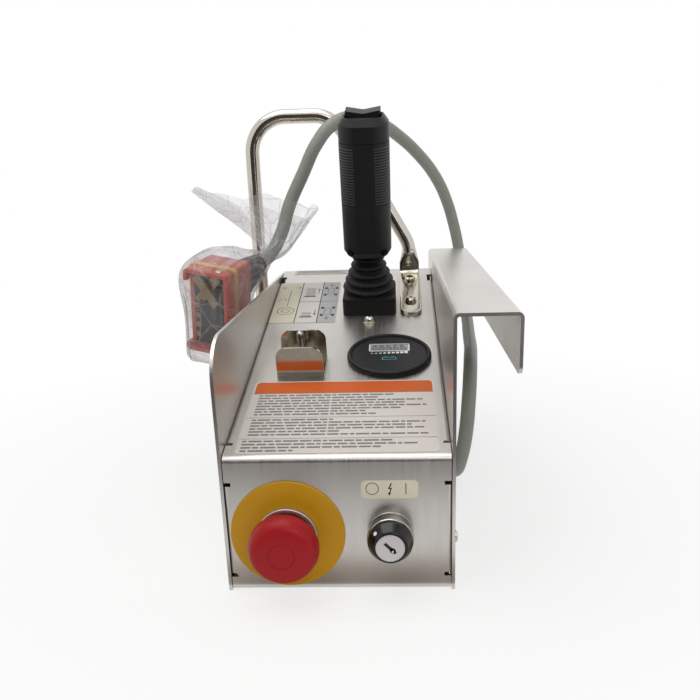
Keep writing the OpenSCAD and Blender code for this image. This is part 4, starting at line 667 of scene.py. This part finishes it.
class LIFTBOX_OT_emergency_stop(bpy.types.Operator):
    """Makes the mushroom head, its collar and its yellow plate"""

    bl_idname = "liftbox.emergency_stop"
    bl_label = "Emergency stop"

    def execute(self, context):
        place = front_frame(*STOP_PLACE)
        neck = [(0, 5.7), (13.9, 5.7), (14.5, 6.3), (14.5, 12.4)]
        flare = [(14.5 + 6.3 * math.sin(a), 12.8 + 3.4 * (1 - math.cos(a))) for a in
                 [math.radians(k * 9) for k in range(11)]]
        rim = [(20.9 - 6.4 * (1 - math.cos(a)), 17.6 + 9.4 * math.sin(a)) for a in
               [math.radians(k * 7.5) for k in range(13)]]
        face = [(12.6, 27.45), (10.4, 27.75), (8.15, 27.9), (7.95, 27.6), (7.35, 27.6), (7.15, 27.9), (5, 27.95),
                (0, 28)]
        stem = [(0, -11), (4, -11), (4, 5.7)]
        head = turned("stop_head", stem + neck[1:] + flare + rim + face, place, "moulded_red",
                      "stop_button_body", sides=128, crease=28.0)
        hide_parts("stop_button")
        collar = [(14.85, 1.55), (14.85, 3.2), (15.6, 3.4), (16.0, 4.15), (17.9, 4.4), (18.3, 4.0), (18.3, 1.2),
                  (14.85, 1.2), (14.85, 0), (11, 0), (11, -16), (4.1, -16), (4.1, 1.5), (14.85, 1.5)]
        ring = turned("stop_collar_ring", softened(collar, 0.25, 3), place, "satin_aluminium", "box")
        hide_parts("stop_collar")
        plate = [(15.0, 0), (15.0, 1.1), (15.1, 1.2), (34.35, 1.2), (34.75, 0.8), (34.75, 0), (15.0, 0)]
        disc = turned("stop_plate", softened(plate, 0.15, 3), place, "moulded_yellow", "box",
                      sides=128)
        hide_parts("stop_ring")
        dress("black_abs", "contact_blocks")
        return {"FINISHED"}


class LIFTBOX_OT_key_switch(bpy.types.Operator):
    """Makes the chrome ring, the bezel and the turning face"""

    bl_idname = "liftbox.key_switch"
    bl_label = "Key switch"

    def execute(self, context):
        place = front_frame(*KEY_PLACE)
        ring = [(11.05, 0), (14.0, 0), (14.0, 1.0), (13.6, 1.3), (13.6, 1.6), (14.0, 1.9), (14.0, 9.1),
                (13.5, 10.0), (11.05, 10.0), (11.05, 0)]
        chrome = turned("key_chrome_ring", softened(ring, 0.35, 4), place, "chrome_plate", "box")
        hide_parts("key_ring")
        bezel = [(8.55, -16), (11.0, -16), (11.0, 10.0), (13.4, 10.0), (13.4, 12.6), (12.9, 13.4), (10.4, 18.1),
                 (9.5, 19.0), (8.9, 19.0), (8.55, 18.6), (8.55, -16)]
        black = turned("key_black_bezel", softened(bezel, 0.5, 4), place, "gloss_black", "box")
        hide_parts("key_bezel")
        dress("satin_aluminium", "key_core")
        # White dot on the bezel's cone, up and to the left
        way, dot_r, dot_z, dot_lean = math.radians(138), 11.6, 15.9, math.radians(62)
        seat = Matrix.Translation((dot_r * math.cos(way), dot_r * math.sin(way), dot_z))
        lean = Matrix.Rotation(dot_lean, 4, (-math.sin(way), math.cos(way), 0))
        turned("key_bezel_dot", [(0, 0.3), (1.05, 0.3), (1.25, 0.15), (1.25, -0.8)], place @ seat @ lean,
               "ink_white", "box", sides=24)
        turn = place @ Matrix.Rotation(math.radians(45), 4, "Z")
        rim = [(7.5, 19.3), (7.6, 19.45), (8.2, 19.45), (8.45, 19.1)]
        turned("key_face_rim", softened(rim, 0.15, 2), turn, "satin_aluminium", "key_core_body")
        # The keyway is a flat black shape just over the face: painted shade for the dark slot.
        slot = [(0, rounded(1.9, 8.6, 0.4)),
                (0, [(x * 1.7, y * 1.7 - 2.0) for x, y in circle_line(0, 0, 1, 20)][:-1])]
        printed("key_slot_dark", slot, turn, 19.33, ["gloss_black"], body="key_core_body")
        pin = softened([(0, 19.75), (0.6, 19.75), (0.75, 19.6), (0.75, 19.0)], 0.1, 2)
        turned("key_slot_pin", pin, turn @ Matrix.Translation((-0.4, -2.4, 0)), "nickel_plate", "key_core_body",
               sides=24)
        return {"FINISHED"}


class LIFTBOX_OT_toggle(bpy.types.Operator):
    """Makes the toggle's lever and finishes its guard"""

    bl_idname = "liftbox.toggle"
    bl_label = "Toggle switch"

    def execute(self, context):
        place = top_frame(*TOGGLE_PLACE)
        dress("polished_stainless", "toggle_guard")
        dress("nickel_plate", "toggle_bushing", "toggle_nut")
        dress("black_abs", "toggle_body")
        ball_r, ball_z, tip_r, tip_z = 3.4, 4, 2.8, 25.7
        ball = [(ball_r * math.sin(math.radians(a)), ball_z - ball_r * math.cos(math.radians(a)))
                for a in range(0, 151, 15)]
        tip = [(tip_r * math.sin(math.radians(a)), tip_z - tip_r * math.cos(math.radians(a)))
               for a in range(100, 181, 10)]
        lever = turned("toggle_handle", ball + [(1.75, 8.4), (2.35, 18.0), (2.72, 24.2)] + tip, place,
                       "chrome_plate", "toggle_body_moving", sides=48, crease=50.0)
        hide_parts("toggle_lever")
        thread = [(6.0, 4.2)]
        for k in range(5):
            thread += [(6.05, 4.3 + 0.7 * k), (5.75, 4.65 + 0.7 * k)]
        thread += [(5.7, 7.95), (3.6, 8.05)]
        turned("toggle_bushing_thread", thread, place, "nickel_plate", "box", sides=64,
               crease=60.0)
        return {"FINISHED"}


class LIFTBOX_OT_gauge(bpy.types.Operator):
    """Makes the gauge's bezel, window and marks"""

    bl_idname = "liftbox.gauge"
    bl_label = "Battery gauge"

    def execute(self, context):
        place = top_frame(*GAUGE_PLACE)
        case = [(24, -34), (26, -36), (26, 0), (30.5, 0), (30.5, 3.0), (29.6, 4.4), (27.8, 4.6), (27.0, 3.1),
                (27.0, 1.2), (24, 1.2), (24, -34)]
        bezel = turned("gauge_bezel", softened(case, 0.9, 5), place, "black_abs", "box",
                       sides=128)
        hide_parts("gauge_case")
        dress("grip_nylon", "gauge_face")
        dress("display_glass", "gauge_window")
        dress("nickel_plate", "gauge_clamp")
        window = rounded(28.8, 10.6, 0.6, 0, 9.5)
        marks = [(0, m) for m in line_bars(window + [window[0]], 0.9)]
        marks += [(1, rect(-13.2 + 2.64 * k, 5.6, -11.3 + 2.64 * k, 10.4)) for k in range(10)]
        marks += [(1, rect(-12 + 4.9 * k, 11.4, -9.2 + 4.9 * k, 13.6)) for k in range(5)]
        for k in range(9):
            x, w, h = -12.6 + 3.1 * k, 1.5 + 0.12 * k, 0.6 + 0.32 * k
            marks.append((0, rect(x - w / 2, 0.2, x + w / 2, 0.2 + h)))
        marks += [(0, bar((x, 2.6), (x, 3.9), 0.5)) for x in (-12.6, 0, 12.2)]
        # Plain outline of a battery
        battery = [(-4.4, -5.6), (4.4, -5.6), (5.2, -8.8), (-5.2, -8.8)]
        marks += [(2, m) for m in line_bars(battery + [battery[0]], 0.45)]
        marks += [(2, bar((x, -5.6), (x, -4.9), 1.2)) for x in (-2.6, 2.6)]
        printed("gauge_face_marks", marks, place, 3.06, ["ink_white", "ink_grey", "ink_teal"])
        return {"FINISHED"}


class LIFTBOX_OT_joystick(bpy.types.Operator):
    """Makes the joystick's boot and finishes its grip"""

    bl_idname = "liftbox.joystick"
    bl_label = "Joystick"

    def execute(self, context):
        place = top_frame(*STICK_PLACE)
        dress("black_abs", "joystick_base", "joystick_controller")
        dress("grip_nylon", "grip_front", "grip_rear", "grip_head", "grip_trigger", "thumb_rocker")
        dress("nickel_plate", "joystick_shaft", "gimbal_pin", "rocker_pin", "trigger_pin")
        # Boot: folds that narrow from the base to the stick, each drawn by shares of its height and its depth
        shares, boot_r, fold_deep = (1.05, 0.96, 0.85, 0.73, 0.61), 21.5, 3.4
        fold_line = ((0.08, 0.05), (0.2, 0.45), (0.34, 0.86), (0.48, 1.0), (0.62, 0.95), (0.76, 0.6),
                     (0.88, 0.22), (1.0, 0.0))
        low, high = 14.0, 46.7
        step = (high - low - 2) / 5
        outline = [(17.0, low - 0.4), (20.4, low - 0.3), (20.9, low + 0.6)]
        for k, share in enumerate(shares):
            z = low + 0.9 + k * step
            inner = share * boot_r - fold_deep
            for t, f in fold_line:
                shrink = (share - shares[min(k + 1, 4)]) * boot_r * t
                outline.append((inner - shrink + fold_deep * f, z + step * t))
        outline += [(7.6, high - 0.6), (6.6, high), (5.4, high)]
        inside = [(max(r - 1.3, 5.35), z - 0.2) for r, z in reversed(outline[3:-1])]
        boot = turned("joystick_bellows", softened(outline, 0.5, 2) + inside, place, "soft_rubber", None,
                      sides=112, crease=60.0)
        # Lands between the grip's grooves, in lighter nylon that paints a sheen along the ribs; the front and
        # rear bands stay plain
        grip_w, grip_l, grip_r, band = 37.6, 40.2, 14.1, 7.7
        side = [(x, y) for x, y in rounded(grip_w, grip_l, grip_r, steps=12) if x > band]
        side.sort(key=lambda p: math.atan2(p[1], p[0]))
        side = [(band, -grip_l / 2)] + side + [(band, grip_l / 2)]
        first_groove, pitch, groove, land, sunk = 47.0 + 87.0 * 0.48, 2.0, 1.05, 0.9, 0.975
        points, faces = [], []
        for k in range(21):
            z = first_groove + pitch * k + groove
            for way in (-1, 1):
                for a, b in zip(side, side[1:]):
                    n = len(points)
                    for f in (1.0, sunk):
                        points += [(way * x * f, y * f, z + up)
                                   for (x, y), up in ((a, 0), (b, 0), (b, land), (a, land))]
                    faces += [(n, n + 1, n + 2, n + 3), (n, n + 1, n + 5, n + 4),
                              (n + 3, n + 2, n + 6, n + 7)]
        add_piece("grip_lands", points, faces, place, ["worn_nylon"], "stick_body",
                  crease=50.0)
        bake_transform(boot)
        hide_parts("joystick_boot")
        # Skirt of the boot, clamped on the square base
        skirt = softened(rounded(42.4, 42.4, 5.0), 0.1, 1)
        levels = ((1.0, 12.0), (1.0, 13.2), (0.985, 13.9), (0.95, 14.15))
        points = [(x * f, y * f, z) for f, z in levels for x, y in skirt]
        n = len(skirt)
        faces = ring_faces(len(levels), n) + [tuple((len(levels) - 1) * n + k for k in range(n))]
        add_piece("joystick_skirt", points, faces, place, ["soft_rubber"], "box")
        return {"FINISHED"}


class LIFTBOX_OT_handle(bpy.types.Operator):
    """Makes the bent handle bar with its flattened feet"""

    bl_idname = "liftbox.handle"
    bl_label = "Handle"

    def execute(self, context):
        y, bend, tight = 125.0, 30.0, 4.6
        top, knee, slant = 293.5, 183.0, math.radians(60)
        left_x, right_x, side_x = -87.5, 48.0, -71.6
        # Half width and half thickness of the flattened feet
        wide, thin = 8.75, 1.6
        slant_x = right_x - (top - knee) / math.tan(slant)
        slant_tan = bend * math.tan(slant / 2)
        knee_tan = bend * math.tan((math.pi / 2 - slant) / 2)

        def arc(x, z, a0, a1, steps=14):
            angles = [a0 + (a1 - a0) * k / steps for k in range(steps + 1)]
            return [(x + bend * math.cos(a), y, z + bend * math.sin(a)) for a in angles]

        ends = [math.radians(a) for a in (14, 32, 52, 72, 90)]
        left = [(side_x, y, 50 + wide * (1 - math.cos(a))) for a in ends] + [(side_x, y, 106)]
        jog = [(side_x - 1.2, y, 110.5), (-79.6, y, 117), (-86.2, y, 123.5)]
        line = [(left_x, y, 128)] + arc(left_x + bend, top - bend, math.pi, math.pi / 2)
        line += arc(slant_x - slant_tan, top - bend, math.pi / 2, math.pi / 2 - slant)
        line += arc(right_x - bend, knee - knee_tan, math.pi / 2 - slant, 0)
        foot_y = y - thin - 3.0
        foot_z = FRONT_H + (foot_y - FRONT_Y) * math.tan(SLOPE) + 6.2 / math.cos(SLOPE)
        line += [(right_x, y, foot_z + 18)]
        foot = [(right_x, y, foot_z + 12), (right_x, y, foot_z + 6)]
        foot += [(right_x, foot_y + tight * math.cos(a), foot_z + tight * math.sin(a))
                 for a in [-(math.pi / 2 - SLOPE) * k / 8 for k in range(9)]]
        c, n = math.cos(SLOPE), math.sin(SLOPE)
        flat = [(right_x, FRONT_Y + s * c - thin * n, FRONT_H + s * n + thin * c) for s in
                [190.5 + wide * (1 - math.cos(a)) for a in reversed(ends)]]
        # Half sizes and squareness along the bar: flat foot, round tube, flat foot
        halves = [(wide * math.sin(a), thin, 0.3) for a in ends]
        halves += [(wide, thin, 0.3), (8.4, 2.2, 0.45), (7.2, 4.2, 0.75), (6.3, 5.6, 0.92)]
        halves += [(6, 6, 1)] * len(line)
        halves += [(4.0, 7.4, 0.8)] + [(thin, wide, 0.3)] * 10
        halves += [(thin, wide * math.sin(a), 0.3) for a in reversed(ends)]
        tube = swept("handle_bar", left + jog + line + foot + flat, halves, Matrix.Identity(4),
                     "polished_stainless", "box", side=(0, 1, 0))
        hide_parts("guard_handle")
        return {"FINISHED"}


class LIFTBOX_OT_connector(bpy.types.Operator):
    """Finishes the connector and adds its moulded detail"""

    bl_idname = "liftbox.connector"
    bl_label = "Connector"

    def execute(self, context):
        place = plug_frame()
        dress("moulded_orange", "connector_housing")
        dress("black_abs", "connector_insert", "connector_hood")
        dress("tinned_brass", "connector_contacts")
        dress("elastic_band", "rubber_band")
        half_w = PLUG_SIZE[0] / 2
        # Ribs of the housing's right wall and the ledge between its two halves: place, size and height
        ribs = ((20, 20, 12, 2, 0.9), (20, -2, 14, 2.4, 0.9), (26, -20, 16, 2, 0.9), (5, 9, 6, 3.2, 0.9),
                (5.5, -9, 10, 12, 1.5), (5.5, 4, 8, 5, 1.2))
        for k, (y, z, ly, lz, out) in enumerate(ribs):
            outline = rounded(ly, lz, 0.8, y, z)
            n = len(outline)
            points = [(half_w - 0.2, a, b) for a, b in outline] + [(half_w + out, a, b) for a, b in outline]
            points += [(half_w + out + 0.3, y + (a - y) * 0.9, z + (b - z) * 0.8) for a, b in outline]
            faces = ring_faces(3, n) + [tuple(range(2 * n, 3 * n))]
            add_piece(f"connector_rib_{k + 1}", points, faces, place, ["moulded_orange"], "box")
        return {"FINISHED"}


def film_ring(t):
    """The bag's ring at a place t along its rings, blended smoothly."""
    k = min(int(t), len(FILM_RINGS) - 2)
    u = t - k
    rows = [FILM_RINGS[max(0, min(len(FILM_RINGS) - 1, k + j))] for j in (-1, 0, 1, 2)]
    return [0.5 * (2 * b + (c - a) * u + (2 * a - 5 * b + 4 * c - d) * u * u
                   + (3 * b - a - 3 * c + d) * u ** 3) for a, b, c, d in zip(*rows)]


def ramp(t, start, reach):
    """Climbs from 0 at the start to 1 over the reach."""
    return min(1.0, max(0.0, (t - start) / reach))


class LIFTBOX_OT_bag(bpy.types.Operator):
    """Makes the crumpled clear bag round the connector"""

    bl_idname = "liftbox.bag"
    bl_label = "Clear bag"

    def execute(self, context):
        place = plug_frame()
        w, d, h = PLUG_SIZE
        rings, sides, inset = 110, 160, 1.0
        # Deepest fold in millimetres over the pouch, at the neck and in the rim, by the place along the rings
        pouch_end, neck_end, deepest = 6.5, 8.6, (3.0, 1.1, 2.6)
        rim_start, rim_reach = 8.4, 1.6
        crumple = sizes().film_crumple / MM
        points = []
        for j in range(rings + 1):
            t = (len(FILM_RINGS) - 1) * j / rings
            x, y, z, half_w, half_d, turn = film_ring(t)
            power = 0.5 + 0.5 * ramp(t, 5.5, 1.5)
            c, s = math.cos(math.radians(turn)), math.sin(math.radians(turn))
            pleat = ramp(t, 5.0, 2.0)
            limit = -deepest[0] if t < pouch_end else -deepest[1] if t < neck_end else -deepest[2]
            flare = max(0.0, t - rim_start) / rim_reach
            for k in range(sides):
                a = 2 * math.pi * k / sides
                ca, sa = math.cos(a), math.sin(a)
                u = (half_w * w - inset) * math.copysign(abs(ca) ** power, ca)
                v = (half_d * d - inset) * math.copysign(abs(sa) ** power, sa)
                reach = max(4.0, math.hypot(u, v))
                fold = noise.fractal(Vector((3.1 * ca, 3.1 * sa, t * 0.9)) * 0.7, 1.0, 2.0, 2)
                ridge = 1 - 2 * abs(noise.noise(Vector((2.6 * ca + 7, 2.6 * sa, t * 0.35 + 3))))
                gather = pleat * 0.4 * math.sin(a * 9 + 2.2 * noise.noise(Vector((t * 0.6, ca, sa))))
                push = -abs(crumple * (1.1 * fold + 0.9 * ridge + gather)) * min(1.0, t / 1.2)
                push = max(push, limit)
                u, v = u * (1 + push / reach), v * (1 + push / reach)
                wave = flare * (3.4 * math.sin(2 * a + 0.6) + 2.6 * math.sin(5 * a + 2.0)
                                + 1.2 * math.sin(11 * a))
                v += flare * (3.0 * math.sin(3 * a + 2.2) + 1.6 * math.sin(7 * a))
                points.append((x * w + u, y * d - v * s - 0.5 * wave * flare, z * h + v * c + wave))
        faces = ring_faces(rings + 1, sides) + [tuple(range(sides))]
        film = add_piece("clear_film_bag", points, faces, place, ["clear_film"], "box",
                         crease=40.0)
        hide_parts("clear_bag")
        return {"FINISHED"}


class LIFTBOX_OT_inside(bpy.types.Operator):
    """Finishes the control board and its standoffs"""

    bl_idname = "liftbox.inside"
    bl_label = "Inside"

    def execute(self, context):
        dress("circuit_board", "control_board")
        dress("nickel_plate", "board_standoffs")
        return {"FINISHED"}


def seen_rays(tree):
    """1 for rays from the camera, off a mirror or through film, and 0 for the rest."""
    path = add_node(tree, "ShaderNodeLightPath")
    seen = path.outputs["Is Camera Ray"]
    for kind in ("Is Glossy Ray", "Is Transmission Ray"):
        seen = add_node(tree, "ShaderNodeMath", {"operation": "MAXIMUM"},
                        {0: seen, 1: path.outputs[kind]}).outputs["Value"]
    return seen


def paper(name, hex_colour, roughness):
    """A matt material of the stage, with its tree and shader."""
    material = bpy.data.materials.new(name)
    material.use_nodes = True
    shader = material.node_tree.nodes["Principled BSDF"]
    shader.inputs["Base Color"].default_value = linear(hex_colour)
    shader.inputs["Roughness"].default_value = roughness
    return material, material.node_tree, shader


def sheet(name, corners, material):
    """A flat piece of the stage from its corners in metres."""
    mesh = bpy.data.meshes.new(name)
    mesh.from_pydata(corners, [], [(0, 1, 2, 3)])
    mesh.materials.append(material)
    piece = bpy.data.objects.new(name, mesh)
    bpy.context.scene.collection.objects.link(piece)
    return piece


class LIFTBOX_OT_stage(bpy.types.Operator):
    """Makes the floor, the lamps, the reflection cards and the white surround"""

    bl_idname = "liftbox.stage"
    bl_label = "Stage"

    def execute(self, context):
        scene = context.scene
        scene.view_settings.view_transform = "Standard"
        world = bpy.data.worlds.new("white_surround")
        scene.world = world
        world.use_nodes = True
        tree = world.node_tree
        back = tree.nodes["Background"]
        # The surround is white to the eye and lights the object at a plain grey
        mix = add_node(tree, "ShaderNodeMix",
                       {"data_type": "RGBA", 6: (0.43, 0.43, 0.43, 1), 7: (1, 1, 1, 1)}, {0: seen_rays(tree)})
        tree.links.new(mix.outputs[2], back.inputs["Color"])
        back.inputs["Strength"].default_value = 1.0

        # Floor: matt white paper that fades into the surround away from the object
        material, tree, shader = paper("floor_paper", "#f4f4f2", 0.8)
        glow = add_node(tree, "ShaderNodeEmission", {"Color": (1, 1, 1, 1), "Strength": 1.0})
        place = add_node(tree, "ShaderNodeTexCoord")
        far = add_node(tree, "ShaderNodeVectorMath", {"operation": "LENGTH"}, {0: place.outputs["Object"]})
        fade = add_node(tree, "ShaderNodeMapRange",
                        {"From Min": 0.15, "From Max": 0.5, "To Min": 0.72, "To Max": 1.0},
                        {"Value": far.outputs["Value"]})
        share = add_node(tree, "ShaderNodeMath", {"operation": "MULTIPLY"},
                         {0: seen_rays(tree), 1: fade.outputs["Result"]})
        blend = add_node(tree, "ShaderNodeMixShader", None,
                         {0: share.outputs["Value"], 1: shader.outputs["BSDF"], 2: glow.outputs["Emission"]})
        tree.links.new(blend.outputs["Shader"], tree.nodes["Material Output"].inputs["Surface"])
        sheet("floor", [(-4, -4, 0), (4, -4, 0), (4, 6, 0), (-4, 6, 0)], material)

        # Cards that only reflections see: they give the brushed sheet its gradients
        dark, grey = paper("card_black", "#4c4a4b", 0.9)[0], paper("card_grey", "#bdb5ac", 0.9)[0]
        lift = 0.002
        for name, material, corners in (
                ("card_low", dark, [(-0.7, -1.6, lift), (0.7, -1.6, lift), (0.7, -0.30, lift),
                                    (-0.7, -0.30, lift)]),
                ("card_front", dark, [(-1.0, -1.5, 0.0), (1.0, -1.5, 0.0), (1.0, -1.5, 1.0),
                                      (-1.0, -1.5, 1.0)]),
                # The grey strip on the floor just before the front panel is painted shadow: it stands in for the
                # box's shadow there, seen only in the panel's reflection.
                ("card_near", grey, [(-0.3, -0.178, lift), (0.3, -0.178, lift), (0.3, -0.148, lift),
                                     (-0.3, -0.148, lift)])):
            card = sheet(name, corners, material)
            card.visible_camera = card.visible_diffuse = card.visible_shadow = False
            card.visible_transmission = False

        for name, place, power, width in (
                ("lamp_over", (-0.25, -0.1, 1.35), 8.0, sizes().lamp_width),
                ("lamp_front", (0.5, -1.3, 0.9), 4.0, 0.8)):
            data = bpy.data.lights.new(name, "AREA")
            data.energy = power
            data.size = width
            lamp = bpy.data.objects.new(name, data)
            scene.collection.objects.link(lamp)
            lamp.location = place
            lamp.rotation_euler = (Vector((0, 0, 0.1)) - Vector(place)).to_track_quat("-Z", "Y").to_euler()
        return {"FINISHED"}


class LIFTBOX_PT_panel(bpy.types.Panel):
    """Lists the control box's pieces and settings"""

    bl_idname = "LIFTBOX_PT_panel"
    bl_label = "Lift control box"
    bl_space_type = "VIEW_3D"
    bl_region_type = "UI"
    bl_category = "Lift box"

    def draw(self, context):
        for group in (context.scene.lift_box_colours, context.scene.lift_box_sizes):
            for key in group.bl_rna.properties.keys():
                if key not in ("rna_type", "name"):
                    self.layout.prop(group, key)
        for step in STEPS:
            self.layout.operator(step.bl_idname)


STEPS = (
    LIFTBOX_OT_camera, LIFTBOX_OT_cable, LIFTBOX_OT_sheet_metal, LIFTBOX_OT_fasteners, LIFTBOX_OT_labels,
    LIFTBOX_OT_emergency_stop, LIFTBOX_OT_key_switch, LIFTBOX_OT_toggle, LIFTBOX_OT_gauge, LIFTBOX_OT_joystick,
    LIFTBOX_OT_handle, LIFTBOX_OT_connector, LIFTBOX_OT_bag, LIFTBOX_OT_inside, LIFTBOX_OT_stage,
)
CLASSES = (LiftBoxColours, LiftBoxSizes) + STEPS + (LIFTBOX_PT_panel,)


def register():
    for one in CLASSES:
        bpy.utils.register_class(one)
    bpy.types.Scene.lift_box_colours = bpy.props.PointerProperty(type=LiftBoxColours)
    bpy.types.Scene.lift_box_sizes = bpy.props.PointerProperty(type=LiftBoxSizes)


def unregister():
    del bpy.types.Scene.lift_box_sizes
    del bpy.types.Scene.lift_box_colours
    for one in reversed(CLASSES):
        bpy.utils.unregister_class(one)


def main():
    register()
    for step in STEPS:
        group, name = step.bl_idname.split(".")
        getattr(getattr(bpy.ops, group), name)()


if __name__ == "__main__":
    main()
